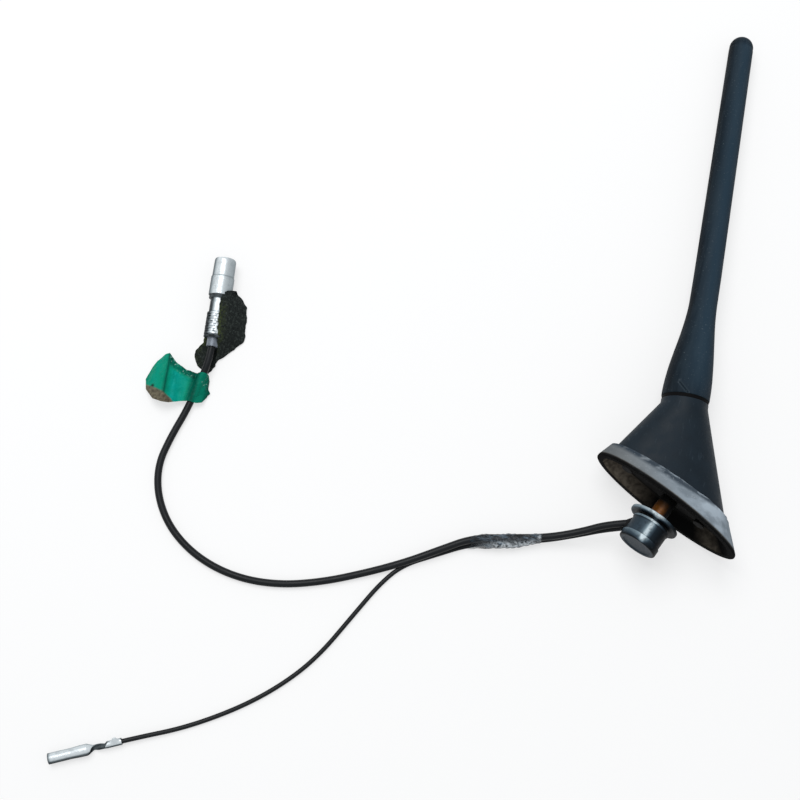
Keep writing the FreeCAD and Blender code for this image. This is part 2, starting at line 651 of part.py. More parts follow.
# Share of a run that the arcs at its two ends may each take
ARC_SHARE = 0.45


def tube(name, label, route, radius):
    """A lead as straight runs joined by tangent arcs, each as large as its two runs allow."""
    edges = []
    radii = []
    start = route[0]
    for before, corner, after in zip(route, route[1:], route[2:]):
        back, ahead = before - corner, after - corner
        tangent = ARC_SHARE * min(back.Length, ahead.Length)
        half_turn = (math.pi - back.getAngle(ahead)) / 2
        bend = tangent / math.tan(half_turn)
        back.normalize()
        ahead.normalize()
        middle_way = (back + ahead).normalize()
        middle = corner + middle_way * (bend / math.cos(half_turn) - bend)
        edges.append(Part.LineSegment(start, corner + back * tangent).toShape())
        start = corner + ahead * tangent
        edges.append(Part.Arc(corner + back * tangent, middle, start).toShape())
        radii.append(round(bend, 1))
    edges.append(Part.LineSegment(start, route[-1]).toShape())
    path = Part.Wire(edges)
    section = Part.Wire(Part.Circle(route[0], route[1] - route[0], radius).toShape())
    lead = doc.addObject("Part::Feature", name)
    lead.Shape = path.makePipeShell([section], True, False)
    expected = math.pi * radius ** 2 * path.Length
    print(f"{label}: length {path.Length:.1f}, bend radii {radii}, volume {lead.Shape.Volume / expected:.4f}")
    return keep(lead, label)


# Plug, drawn on its own axis from its rear ferrule to its nose
collar_start = "($ferrule_sleeve_length + $plug_crimp_length + $plug_waist_length)"
shell_start = f"({collar_start} + $plug_collar_length)"
shell_end = f"({shell_start} + $plug_shell_length)"
spigot_end = f"({shell_start} + $plug_spigot_length)"
bore_of_shell = "($plug_radius - $plug_shell_wall)"
insulator_end = f"({spigot_end} + $insulator_length)"
sleeve_end = "($ferrule_sleeve_length + $ferrule_sleeve_grip)"
waist_start = "($ferrule_sleeve_length + $plug_crimp_length)"
step = f"({shell_end} - $plug_step_back)"
plug_shell = turned("plug_shell", [
    (bore_of_shell, shell_start),
    ("$plug_radius", shell_start),
    ("$plug_radius", step),
    ("$plug_radius - $plug_step_depth", f"{step} + $plug_step_depth"),
    ("$plug_radius - $plug_step_depth", f"{shell_end} - $plug_nose_round", "$plug_nose_round"),
    ("$plug_radius - $plug_step_depth - $plug_nose_round", shell_end),
    (f"{bore_of_shell} - $plug_nose_round", shell_end),
    (bore_of_shell, f"{shell_end} - $plug_nose_round"),
])
plug_insulator = turned("plug_insulator", [
    ("$contact_radius", spigot_end),
    (bore_of_shell, spigot_end),
    (bore_of_shell, insulator_end),
    ("$contact_radius", insulator_end),
])
plug_pin = turned("plug_pin", [
    ("0", f"{spigot_end} - $contact_tail"),
    ("$contact_radius", f"{spigot_end} - $contact_tail"),
    ("$contact_radius", f"{insulator_end} + $contact_proud"),
    ("0", f"{insulator_end} + $contact_proud"),
])
crimp_pitch = "($plug_crimp_length / $plug_crimp_rows)"
crimp = [("$plug_crimp_radius", "$ferrule_sleeve_length")]
for row in range(int(value("$plug_crimp_rows"))):
    middle = f"($ferrule_sleeve_length + {row} * {crimp_pitch} + {crimp_pitch} / 2)"
    crimp += [("$plug_crimp_radius", f"{middle} - $plug_crimp_groove_width / 2"),
              ("$plug_crimp_radius - $plug_crimp_groove", middle),
              ("$plug_crimp_radius", f"{middle} + $plug_crimp_groove_width / 2")]
plug_body = turned("plug_body", crimp + [
    ("$plug_crimp_radius", waist_start),
    ("$plug_waist_radius", waist_start),
    ("$plug_waist_radius", collar_start),
    ("$plug_collar_radius", collar_start),
    ("$plug_collar_radius", shell_start),
    (bore_of_shell, shell_start),
    (bore_of_shell, spigot_end),
    ("$contact_radius + $plug_shell_wall", spigot_end),
    ("$contact_radius + $plug_shell_wall", sleeve_end),
    ("$ferrule_sleeve_radius", sleeve_end),
    ("$ferrule_sleeve_radius", "$ferrule_sleeve_length"),
])
plug_ferrule = turned("plug_ferrule", [
    ("$coax_radius", "0"),
    ("$ferrule_sleeve_radius", "0"),
    ("$ferrule_sleeve_radius", sleeve_end),
    ("$coax_radius", sleeve_end),
])
plug_place = Placement(on_table(PLUG_REAR, value("$plug_rise")),
                       Rotation(Vector(0, 0, 1), PLUG_HEADING) * Rotation(Vector(0, 1, 0), 90))
for item in (plug_shell, plug_insulator, plug_pin, plug_body, plug_ferrule):
    keep(item, item.Name, plug_place)

# Leads: the first two points of each lie on its bore in the boot, the last two in what it ends in
boot_lying = lying * boot_place
lead_out = value("$boot_end + $boot_straight")


def out_of_boot(shift):
    return [boot_lying.multVec(Vector(value(shift), 0, reach)) for reach in (value("$boot_start"), lead_out)]


into_plug = [plug_place.multVec(Vector(0, 0, value(reach))) for reach in ("-$end_straight", "$coax_grip")]
coax_cable = tube("coax", "coax_cable",
                  out_of_boot(coax_shift) + [on_table(point) for point in COAX_ROUTE] + into_plug,
                  value("$coax_radius"))
terminal_place = Placement(on_table(TERMINAL_REAR, value("$terminal_radius")),
                           Rotation(Vector(0, 0, 1), TERMINAL_HEADING) * Rotation(Vector(0, 1, 0), 90))
into_terminal = [terminal_place.multVec(Vector(0, 0, value(reach)))
                 for reach in ("-$end_straight", "$terminal_crimp_length")]
feed_wire = tube("wire", "feed_wire",
                 out_of_boot(wire_shift) + [on_table(point) for point in WIRE_ROUTE] + into_terminal,
                 value("$wire_radius"))

# Clear tape round both leads, an oval tube
tape_middle = value("$tape_height / 2")
tape_from, tape_to = on_table(TAPE_START, tape_middle), on_table(TAPE_END, tape_middle)
tape = doc.addObject("Part::Extrusion", "tape")
tape.Base = bind(doc.addObject("Part::Ellipse", "tape_edge"), MajorRadius="$tape_height / 2",
                 MinorRadius="$tape_width / 2")
tape.Base.Placement = Placement(tape_from, Rotation(Vector(0, 0, 1), Vector(), tape_to - tape_from, "ZXY"))
tape.Dir = tape_to - tape_from
tape.Solid = True
bind(tape, LengthFwd="$tape_length")
keep(cut("tape_wrap", tape, coax_cable, feed_wire), "tape_wrap")

# Green tape stuck round the coaxial lead and back on itself, creased into a low tent
flag_panels = extruded("flag_panels", [
    ("0", "0"),
    ("-$flag_reach", "$flag_rise"),
    ("-$flag_reach - $flag_fall", "-$coax_radius"),
    ("-$flag_reach - $flag_fall", "-$coax_radius - $flag_thickness"),
    ("-$flag_reach", "$flag_rise - $flag_thickness"),
    ("0", "-$flag_thickness"),
], "XZ_Plane", "$flag_width", True)
flag_ring = drum("flag_ring", "$coax_radius + $flag_ring_wall", "$flag_width")
flag_ring.Placement = Placement(Vector(), Rotation(Vector(1, 0, 0), -90))
bind(flag_ring, Placement__Base__y="-$flag_width / 2")
flag_in_place = doc.addObject("Part::Compound", "flag_in_place")
flag_in_place.Links = [joined("flag_shape", flag_panels, flag_ring)]
flag_in_place.Placement = Placement(on_table(FLAG_PLACE, value("$coax_radius + $flag_thickness")),
                                    Rotation(Vector(0, 0, 1), FLAG_HEADING))
keep(cut("marker_flag", flag_in_place, coax_cable), "marker_flag")

# Felt tape under the back of the plug and up round one side of it, drawn with the plug along Y
along_y = Rotation(Vector(1, 0, 0), -90)


def under_plug(name, radius, start, length):
    """A cylinder on the plug's axis, in the felt's own frame."""
    solid = doc.addObject("Part::Cylinder", name)
    solid.Placement = Placement(Vector(), along_y)
    return bind(solid, Radius=radius, Height=length, Placement__Base__y=start,
                Placement__Base__z="$plug_rise")


felt_sheet = extruded("felt_sheet", [(str(x), str(y)) for x, y in FELT_OUTLINE], "XY_Plane",
                      "$felt_thickness", False)
felt_side = under_plug("felt_side", "$plug_radius + $felt_wall", "$felt_wrap_start", "$felt_wrap_length")
felt_side.Angle = 180
felt_side.Placement.Rotation = along_y * Rotation(Vector(0, 0, 1), -90)
felt_wrap = cut("felt_wrap", joined("felt_shape", felt_sheet, felt_side),
                under_plug("room_for_shell", "$plug_radius + $felt_clearance", shell_start,
                           "$plug_shell_length"),
                under_plug("room_for_body", "$plug_collar_radius + $felt_clearance", "$ferrule_sleeve_length",
                           f"{shell_start} - $ferrule_sleeve_length"),
                under_plug("room_for_lead", "$ferrule_sleeve_radius + $felt_clearance", "-$felt_tail",
                           f"$felt_tail + {sleeve_end}"),
                block("below_table", "$foot_length", "2 * $foot_length", "$plug_radius", "0",
                      "-$plug_radius"))
keep(felt_wrap, "felt_wrap", Placement(on_table(PLUG_REAR), Rotation(Vector(0, 0, 1), PLUG_HEADING - 90)))

# Crimped terminal, one folded strip along its own Z, its top towards -X: barrel, neck and wings
barrel_start = "($terminal_crimp_length + $terminal_neck_length)"
crimp_radius = "($wire_radius + $terminal_wall)"
barrel = drum("barrel", "$terminal_radius", "$terminal_length", bottom=barrel_start)
neck = block("neck", "$terminal_neck_thickness", "$terminal_neck_width",
             "$terminal_neck_length + $terminal_crimp_length", f"{crimp_radius} - $terminal_wall / 2 + "
             "$terminal_neck_thickness / 2", "$terminal_crimp_length / 2")
wings = block("wings", f"{crimp_radius} + $terminal_wing_height", "$terminal_wing_width",
              "$terminal_crimp_length", f"-({crimp_radius} + $terminal_wing_height) / 2", "0")
crimp_round = drum("crimp_round", crimp_radius, "$terminal_crimp_length")
wire_terminal = cut("wire_terminal", joined("strip", barrel, neck, wings, crimp_round),
                    drum("wire_hole", "$wire_radius", "$terminal_crimp_length"),
                    drum("barrel_bore", "$terminal_radius - $terminal_wall", "$terminal_length",
                         bottom=barrel_start),
                    block("barrel_seam", "$terminal_radius", "$terminal_slit", "$terminal_length",
                          "-$terminal_radius", barrel_start))
keep(wire_terminal, "wire_terminal", terminal_place)

# Everything in its place, checked and written
doc.recompute()
for item, place in pieces.values():
    item.Placement = place
doc.recompute()
for item in doc.Objects:
    if {"Invalid", "Error"} & set(item.State):
        raise RuntimeError(f"{item.Name}: {item.State}")
os.makedirs("parts", exist_ok=True)
for label, (item, place) in pieces.items():
    if item.Shape.isNull() or not item.Shape.isValid():
        raise RuntimeError(f"{label}: no valid shape")
    item.Shape.exportStep(f"parts/{label}.step")
    print(f"{label}: {len(item.Shape.Solids)} solid, {item.Shape.Volume:.1f} mm3")

# Points that the record's mounts and joints use
for name, place, spot in (("roof face", lying, Vector()), ("mast foot", lying * on_mast, Vector()),
                          ("stud", lying * on_stud, Vector(0, 0, value(stud_tip))),
                          ("boot", boot_lying, Vector()), ("terminal", terminal_place, Vector()),
                          ("plug", plug_place, Vector(0, 0, value(shell_end)))):
    print(name, "at", place.multVec(spot), "own Z", place.Rotation.multVec(Vector(0, 0, 1)))
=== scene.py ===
import math

import bpy
import numpy as np
from mathutils import Matrix


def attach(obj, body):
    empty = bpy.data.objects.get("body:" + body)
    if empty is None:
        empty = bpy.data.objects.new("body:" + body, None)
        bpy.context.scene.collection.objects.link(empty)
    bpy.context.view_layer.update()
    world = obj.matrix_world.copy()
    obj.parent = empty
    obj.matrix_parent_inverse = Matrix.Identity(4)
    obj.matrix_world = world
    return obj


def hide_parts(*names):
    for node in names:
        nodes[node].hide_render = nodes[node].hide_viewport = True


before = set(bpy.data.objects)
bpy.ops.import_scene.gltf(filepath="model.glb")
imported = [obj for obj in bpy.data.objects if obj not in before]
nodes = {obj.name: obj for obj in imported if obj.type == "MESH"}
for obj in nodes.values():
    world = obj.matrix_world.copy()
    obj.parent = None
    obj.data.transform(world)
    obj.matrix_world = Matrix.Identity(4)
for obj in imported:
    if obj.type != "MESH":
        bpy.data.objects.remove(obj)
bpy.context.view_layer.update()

# Table, light and camera
# A plain white table under one broad soft lamp and an even sky, seen almost straight down.
# The camera stands where the photograph was taken from.
MM = 0.001


def add(tree, kind, values=(), **properties):
    """A node of a material, with its settings; a value that is a socket is linked, others are set."""
    made = tree.nodes.new(kind)
    for key, setting in properties.items():
        setattr(made, key, setting)
    for key, value in dict(values).items():
        if isinstance(value, bpy.types.NodeSocket):
            tree.links.new(value, made.inputs[key])
        else:
            made.inputs[key].default_value = value
    return made


def paint(red, green, blue):
    """A display colour from 0 to 255 as linear red, green, blue and alpha."""
    share = np.array([red, green, blue]) / 255
    linear = np.where(share > 0.04045, ((share + 0.055) / 1.055) ** 2.4, share / 12.92)
    return (*(float(x) for x in linear), 1.0)


def new_object(name, data):
    """A new object at the origin, put in the scene."""
    item = bpy.data.objects.new(name, data)
    bpy.context.scene.collection.objects.link(item)
    return item


table_mesh = bpy.data.meshes.new("table")
table_reach = 6.0
table_corners = [(x * table_reach, y * table_reach, 0) for x, y in ((-1, -1), (1, -1), (1, 1), (-1, 1))]
table_mesh.from_pydata(table_corners, [], [(0, 1, 2, 3)])
table = new_object("table", table_mesh)
table_paint = bpy.data.materials.new("table_paint")
table_paint.use_nodes = True
tree = table_paint.node_tree
tree.nodes.clear()
# The camera and reflections see paint with some glow, which is white and keeps the shadow.
ray = add(tree, "ShaderNodeLightPath").outputs
seen = add(tree, "ShaderNodeMath", {0: ray["Is Camera Ray"], 1: ray["Is Glossy Ray"]},
           operation="MAXIMUM")
seen = add(tree, "ShaderNodeMath", {0: seen.outputs[0], 1: ray["Is Transmission Ray"]},
           operation="MAXIMUM")
plain = add(tree, "ShaderNodeBsdfDiffuse", {"Color": (0.8, 0.8, 0.8, 1)})
grey = add(tree, "ShaderNodeBsdfDiffuse", {"Color": (0.42, 0.42, 0.42, 1)})
glow = add(tree, "ShaderNodeEmission", {"Color": (1, 1, 1, 1), "Strength": 0.62})
white = add(tree, "ShaderNodeAddShader", {0: grey.outputs[0], 1: glow.outputs[0]})
both = add(tree, "ShaderNodeMixShader", {0: seen.outputs[0], 1: plain.outputs[0], 2: white.outputs[0]})
add(tree, "ShaderNodeOutputMaterial", {"Surface": both.outputs[0]})
table_mesh.materials.append(table_paint)

world = bpy.data.worlds.new("sky")
bpy.context.scene.world = world
world.use_nodes = True
world.node_tree.nodes["Background"].inputs["Color"].default_value = (0.94, 0.97, 1.0, 1)
world.node_tree.nodes["Background"].inputs["Strength"].default_value = 0.45
lamp = bpy.data.lights.new("soft_lamp", "AREA")
lamp.shape = "DISK"
lamp.size = 0.9
lamp.energy = 9.0
lamp_object = new_object("soft_lamp", lamp)
lamp_place, lamp_lean, lamp_tip = (-0.45, 0.35, 1.15), math.radians(-22), math.radians(-20)
lamp_object.matrix_world = (Matrix.Translation(lamp_place) @ Matrix.Rotation(lamp_lean, 4, "Y")
                            @ Matrix.Rotation(lamp_tip, 4, "X"))

camera = bpy.data.cameras.new("camera")
camera.lens = 54
camera.sensor_width = 36
camera.clip_start = 0.01
camera_object = new_object("camera", camera)
camera_place = (-0.140739, -0.193372, 0.53404)
right, up, ahead = (0.9738, 0.2146, 0.0755), (-0.2253, 0.9558, 0.1890), (0.0316, 0.2010, -0.9791)
camera_object.matrix_world = (Matrix.Translation(camera_place)
                              @ Matrix([right, up, [-x for x in ahead]]).transposed().to_4x4())
bpy.context.scene.camera = camera_object
bpy.context.scene.view_settings.view_transform = "Standard"

# Mast
# A black rubber over-moulding on a wound glass-fibre rod, domed at its tip and flared at its foot.
# It screws into the foot as one unit, on the ferrule's thread. Its lower edge has a small nick.
TURN = 2 * math.pi
# A hoop is nine numbers, a centre and two half axes. Marks, such as how light it is there, follow them.
HOOP = 9
MAST_FOOT = np.array([1.1751, -57.1942, 15.3343])
MAST_AXES = np.array([[1, 0, 0], [0, -0.052848, -0.998603], [0, 0.998603, -0.052848]])
MAST_COLUMNS = 192
FOOT_RADIUS, NECK_RADIUS, TIP_RADIUS = 10.7, 6.3, 5.66
FLARE_START, FLARE_LENGTH, DOME_START = 2, 46, 181.2
MAST_BEND, NICK_DEPTH = 1.3, 0.55


def soften(rows, reach, steps=5, loop=True):
    """Rounds the corners of a line of hoops: each corner c between a and b becomes the curve
    (1-t)^2 a + 2t(1-t) c + t^2 b, where a and b lie a reach away from c on its two runs."""
    rows = np.asarray(rows, float)
    before, after = np.roll(rows, 1, 0) - rows, np.roll(rows, -1, 0) - rows
    limits = [np.linalg.norm(run[:, :HOOP], axis=1)[:, None] for run in (before, after)]
    reach = np.broadcast_to(np.asarray(reach, float).reshape(-1, 1), (len(rows), 1))
    first, last = [rows + run / np.maximum(size, 1e-9) * np.minimum(reach, 0.45 * size)
                   for run, size in zip((before, after), limits)]
    t = np.linspace(0, 1, steps)[None, :, None]
    curves = (1 - t) ** 2 * first[:, None] + 2 * t * (1 - t) * rows[:, None] + t ** 2 * last[:, None]
    if not loop:
        curves[0] = rows[0]
        curves[-1] = rows[-1]
    return curves.reshape(-1, rows.shape[1])


def finer(rows, spacing, loop=True):
    """More rows on a line of hoops, no further apart than the spacing, none moved."""
    if loop:
        rows = np.vstack([rows, rows[:1]])
    gone = np.concatenate([[0], np.cumsum(np.linalg.norm(np.diff(rows[:, :HOOP], axis=0), axis=1))])
    keep = np.concatenate([[True], np.diff(gone) > 1e-4])
    rows, gone = rows[keep], gone[keep]
    stops = np.union1d(gone, np.arange(0, gone[-1], spacing))
    stops = stops[np.concatenate([[True], np.diff(stops) > 1e-4])]
    if loop:
        stops = stops[stops < gone[-1] - 1e-4]
    return np.stack([np.interp(stops, gone, column) for column in rows.T], axis=1)


def round_hoops(profile):
    """Hoops round the Z axis for a profile of radius, height and any marks."""
    radius, height, *more = np.asarray(profile, float).T
    nil = np.zeros_like(radius)
    return np.stack([nil, nil, height, radius, nil, nil, nil, radius, nil, *more], axis=1)


def turns(count):
    """The angles of a hoop's points, in degrees from 0 up to 180 and on from -180 to 0."""
    return (np.arange(count) / count * 360 + 180) % 360 - 180


def hoop_points(hoops, count):
    """Points centre + first axis * cos(angle) + second axis * sin(angle) of every hoop."""
    angle = np.radians(turns(count))
    centre, first, second = hoops[:, None, 0:3], hoops[:, None, 3:6], hoops[:, None, 6:9]
    return centre + first * np.cos(angle)[None, :, None] + second * np.sin(angle)[None, :, None]


def placed(points, origin, axes):
    """Points of a piece's own frame, in millimetres, put where the piece is."""
    return np.asarray(origin) + points @ np.asarray(axes)


def bell(value, middle, width):
    """A soft bump, exp(-((value - middle) / width)^2)."""
    return np.exp(-((np.asarray(value) - middle) / width) ** 2)


def skin(name, points, loop_rows=False, loop_columns=True, poles=(False, False), **marks):
    """A mesh on a grid of points in millimetres, shape rows, columns, 3. A pole closes an end row on its
    middle. The UV map runs round the columns and along the rows, and each mark is a grid of values
    from 0 to 1 that a material reads by its name. Faces are turned outwards."""
    rows, columns = points.shape[:2]
    across = np.arange(columns if loop_columns else columns - 1)
    down = np.arange(rows if loop_rows else rows - 1)
    i, j = [part.ravel() for part in np.meshgrid(down, across, indexing="ij")]
    i2, j2 = (i + 1) % rows, (j + 1) % columns
    faces = np.stack([i * columns + j, i * columns + j2, i2 * columns + j2, i2 * columns + j], axis=1)
    spots = np.stack([np.stack([a / columns, b / rows], axis=1)
                      for a, b in ((j, i), (j + 1, i), (j + 1, i + 1), (j, i + 1))], axis=1)
    places = points.reshape(-1, 3)
    marks = {key: np.broadcast_to(value, (rows, columns)).ravel() for key, value in marks.items()}
    corners, uvs = [faces.tolist()], [spots.reshape(-1, 2)]
    for wanted, row in zip(poles, (0, rows - 1)):
        if wanted:
            k = np.arange(columns)
            centre = np.full(columns, len(places))
            edge, other = row * columns + k, row * columns + (k + 1) % columns
            fan = [centre, other, edge] if row == 0 else [centre, edge, other]
            corners.append(np.stack(fan, axis=1).tolist())
            uvs.append(np.tile([[0.5, row / rows]], (3 * columns, 1)))
            places = np.vstack([places, points[row].mean(0)])
            marks = {key: np.append(value, value[edge].mean()) for key, value in marks.items()}
    mesh = bpy.data.meshes.new(name)
    mesh.from_pydata((places * MM).tolist(), [], sum(corners, []))
    mesh.uv_layers.new(name="surface").data.foreach_set("uv", np.vstack(uvs).astype(np.float32).ravel())
    for key, value in marks.items():
        mesh.attributes.new(key, "FLOAT", "POINT").data.foreach_set("value", value.astype(np.float32))
    a, b, c, d = [places[faces[:, n]] - places.mean(0) for n in range(4)]
    volume = np.einsum("ij,ij->", a, np.cross(b, c)) + np.einsum("ij,ij->", a, np.cross(c, d))
    if volume < 0:
        mesh.flip_normals()
    mesh.shade_smooth()
    mesh.set_sharp_from_angle(angle=math.radians(40))
    return new_object(name, mesh)


def stands_for(piece, node, body="foot"):
    """A piece that shows in place of a CAD node, which it hides, put on its body."""
    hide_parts(node)
    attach(piece, body)


def wobble(points, size, seed, waves=24):
    """Smooth unevenness from about -1 to 1: a sum of sine waves sin(way . point + phase), each of about
    the given size in millimetres."""
    pick = np.random.default_rng(seed)
    ways = pick.normal(size=(waves, 3))
    ways *= (pick.uniform(0.6, 1.6, waves) / np.linalg.norm(ways, axis=1))[:, None] * TURN / size
    phases = pick.uniform(0, TURN, waves)
    return np.sin(points @ ways.T + phases).sum(-1) / math.sqrt(waves / 2) / 1.6


def material(name, piece, roughness=0.5, metallic=0.0, specular=0.5):
    """A new finish on a piece: its node tree, its shader and where on the piece a point is."""
    made = bpy.data.materials.new(name)
    made.use_nodes = True
    piece.data.materials.clear()
    piece.data.materials.append(made)
    shader = made.node_tree.nodes["Principled BSDF"]
    shader.inputs["Roughness"].default_value = roughness
    shader.inputs["Metallic"].default_value = metallic
    shader.inputs["Specular IOR Level"].default_value = specular
    where = add(made.node_tree, "ShaderNodeTexCoord").outputs["Object"]
    return made.node_tree, shader, where


def patches(tree, where, size, low=0.4, high=0.6, detail=4.0, stretch=None):
    """A mask of soft patches of about the given size in millimetres, from a noise between two levels."""
    if stretch is not None:
        where = add(tree, "ShaderNodeMapping", {"Vector": where, "Scale": stretch}).outputs[0]
    grain = {"Vector": where, "Scale": 1 / (size * MM), "Detail": detail}
    noise = add(tree, "ShaderNodeTexNoise", grain)
    levels = {"Value": noise.outputs[0], "From Min": low, "From Max": high}
    return add(tree, "ShaderNodeMapRange", levels).outputs[0]


def marked(tree, name):
    """A mark of the mesh, as a mask."""
    return add(tree, "ShaderNodeAttribute", attribute_name=name).outputs["Fac"]


def between(tree, share, first, second):
    """One colour over another by a mask."""
    mix = add(tree, "ShaderNodeMix", {0: share, 6: first, 7: second}, data_type="RGBA")
    return mix.outputs[2]


def scaled(tree, share, factor):
    """A mask times a number or another mask."""
    return add(tree, "ShaderNodeMath", {0: share, 1: factor}, operation="MULTIPLY").outputs[0]


def roughened(tree, shader, share, low, high):
    """Roughness between two levels by a mask."""
    made = add(tree, "ShaderNodeMapRange", {"Value": share, "To Min": low, "To Max": high})
    tree.links.new(made.outputs[0], shader.inputs["Roughness"])


def bumped(tree, shader, height, depth, strength=1.0):
    """Adds relief of a depth in millimetres to what the shader has already."""
    values = {"Height": height, "Distance": depth * MM, "Strength": strength}
    if shader.inputs["Normal"].is_linked:
        values["Normal"] = shader.inputs["Normal"].links[0].from_socket
    tree.links.new(add(tree, "ShaderNodeBump", values).outputs[0], shader.inputs["Normal"])


def coloured(tree, shader, colour):
    """Gives the shader its colour."""
    tree.links.new(colour, shader.inputs["Base Color"])


flare = np.linspace(0, 1, 30)
flare_radius = FOOT_RADIUS - (FOOT_RADIUS - NECK_RADIUS) * flare ** 2 * (3 - 2 * flare)
dome = np.linspace(0, math.pi / 2 - 0.05, 16)
underside = [(1.0, 2.6), (6.05, 2.6), (6.05, 0.03), (10.5, 0.03), (10.65, 0.18), (FOOT_RADIUS, 0.6)]
tip_groove = [(5.72, 179.9), (5.52, 180.4), (5.52, 180.8), (TIP_RADIUS, DOME_START)]
mast_profile = np.array(
    underside + list(zip(flare_radius, FLARE_START + FLARE_LENGTH * flare)) + tip_groove
    + list(zip(TIP_RADIUS * np.cos(dome), DOME_START + TIP_RADIUS * np.sin(dome))))
mast_hoops = round_hoops(mast_profile)
near_nick = len(underside) + 3
mast_hoops = np.vstack([finer(mast_hoops[:near_nick], 0.35, False),
                        finer(mast_hoops[near_nick:], 1.2, False)])
height = mast_hoops[:, 2]
mast_hoops[:, 0] += MAST_BEND * np.interp(height, [2, 14, 30, 44, 60, 188], [0, 0.25, 0.75, 1.0, 1.0, 0])
mast_points = hoop_points(mast_hoops, MAST_COLUMNS)
mast_angle = turns(MAST_COLUMNS)[None, :]
# The nick is a groove along a line, in degrees round the mast and millimetres up it.
nick_start, nick_run = np.array([-126.0, 4.8]), np.array([24.0, -4.4])
nick_scale = np.array([math.radians(10.6), 1.0])
nick_length = np.linalg.norm(nick_run * nick_scale)
nick_gap = np.stack(np.broadcast_arrays(mast_angle, height[:, None]), axis=2) - nick_start
nick_share = np.clip((nick_gap * nick_run * nick_scale ** 2).sum(2) / nick_length ** 2, 0, 1)
nick_far = np.linalg.norm((nick_gap - nick_share[:, :, None] * nick_run) * nick_scale, axis=2)
mast_turn = np.radians(mast_angle)
outward = np.stack([np.cos(mast_turn), np.sin(mast_turn), 0 * mast_turn], axis=2)
mast_points = mast_points - (NICK_DEPTH * bell(nick_far, 0, 0.3))[:, :, None] * outward
# A painted highlight: a lighter slate-blue band along one side of the mast, fading towards its foot and
# tip.
dust_up = np.interp(height, [0, 6, 20, 180, 182], [0.5, 0.8, 1, 1, 0.5])[:, None]
mast_skin = skin("mast_skin", placed(mast_points, MAST_FOOT, MAST_AXES), poles=(True, True),
                 dusty=bell(mast_angle, -76, 52) * dust_up, nick=bell(nick_far, 0.55, 0.22))
stands_for(mast_skin, "mast_sheath", "mast")
tree, shader, where = material("mast_rubber", mast_skin, 0.6, specular=0.07)
streaks = patches(tree, where, 3.0, 0.42, 0.62, stretch=(1, 0.12, 1))
cloud = patches(tree, where, 14.0, 0.4, 0.65)
tone = between(tree, scaled(tree, cloud, 0.6), paint(15, 20, 25), paint(21, 28, 34))
# The painted highlight band along the mast.
tone = between(tree, scaled(tree, marked(tree, "dusty"), 0.8), tone, paint(46, 66, 81))
tone = between(tree, scaled(tree, streaks, 0.16), tone, paint(62, 76, 86))
specks = patches(tree, where, 0.7, 0.66, 0.72, 2.0)
tone = between(tree, scaled(tree, specks, 0.3), tone, paint(110, 120, 124))
# A painted highlight on the rim of the nick.
nick_rim = scaled(tree, marked(tree, "nick"), 0.22)
coloured(tree, shader, between(tree, nick_rim, tone, paint(96, 108, 116)))
roughened(tree, shader, cloud, 0.55, 0.68)
bumped(tree, shader, patches(tree, where, 0.35, 0.3, 0.7, 2.0), 0.03, 0.5)

# Mast's inner pieces
# The core rod, its winding, the brass ferrule and the rubber ring in the seam. The CAD made their
# shapes, and here they get drawn, turned and moulded finishes.
BRASS, DULL_BRASS, WORN_BRASS = paint(214, 182, 112), paint(140, 108, 52), paint(150, 116, 60)


def tool_marked(name, piece, roughness, metallic=1.0, specular=0.5):
    """A machined or drawn surface, without a colour yet: fine tool marks and a slightly uneven gloss."""
    tree, shader, where = material(name, piece, roughness, metallic, specular)
    marks = patches(tree, where, 0.4, 0.3, 0.7, 2.0, (1, 6, 1))
    roughened(tree, shader, marks, roughness - 0.06, roughness + 0.12)
    bumped(tree, shader, marks, 0.02, 0.4)
    return tree, shader, where


def turned_metal(name, piece, colour, dark, roughness, metallic=1.0):
    """A machined or drawn metal with tool marks and faint stains."""
    tree, shader, where = tool_marked(name, piece, roughness, metallic)
    stain = patches(tree, where, 2.5, 0.45, 0.7)
    coloured(tree, shader, between(tree, scaled(tree, stain, 0.5), colour, dark))


def moulded(name, piece, colour, light, roughness, size=0.3, depth=0.02, specular=0.5):
    """A moulded surface: fine grain, soft clouds and a little pale dust."""
    tree, shader, where = material(name, piece, roughness, specular=specular)
    cloud = patches(tree, where, 6.0, 0.4, 0.65)
    tone = between(tree, scaled(tree, cloud, 0.6), colour, light)
    coloured(tree, shader, tone)
    grain = patches(tree, where, size, 0.3, 0.7, 2.0)
    roughened(tree, shader, cloud, roughness - 0.06, roughness + 0.08)
    bumped(tree, shader, grain, depth, 0.5)
    return tree, shader, where, tone


moulded("rod_fibre", nodes["mast_rod"], paint(214, 208, 186), paint(226, 222, 206), 0.5, 0.2)
turned_metal("winding_copper", nodes["mast_winding"], paint(196, 120, 82), paint(120, 64, 40), 0.35)
turned_metal("ferrule_brass", nodes["mast_ferrule"], BRASS, DULL_BRASS, 0.3)
moulded("seam_rubber", nodes["mast_seal_ring"], paint(8, 8, 9), paint(14, 14, 15), 0.75, specular=0.1)

# Cover
# A raked cone of dark grained plastic, oval at the foot and round at its collar, a hollow shell.
# It carries the mast's threaded socket and stands in the pocket of the roof seal.
ROOF_FACE = np.array([-0.2152, -107.4234, 18.0277])
FOOT_AXES = np.array([[0.902298, -0.431113, 0], [-0.025243, -0.052831, -0.998285],
                      [0.430374, 0.900750, -0.058552]])
RAKE = math.radians(25.5)
SEAM = np.array([-20.4, 0, 46.0])
COVER_COLUMNS = 128


def oval(length, width, ahead, level, *more):
    """A level oval hoop of the foot."""
    return [ahead, 0, level, length / 2, 0, 0, 0, width / 2, 0, *more]


def leaning(radius, below):
    """A hoop square to the mast's axis, some way below the mast's foot."""
    centre = SEAM + below * np.array([math.sin(RAKE), 0, -math.cos(RAKE)])
    return [*centre, radius * math.cos(RAKE), 0, radius * math.sin(RAKE), 0, radius, 0]


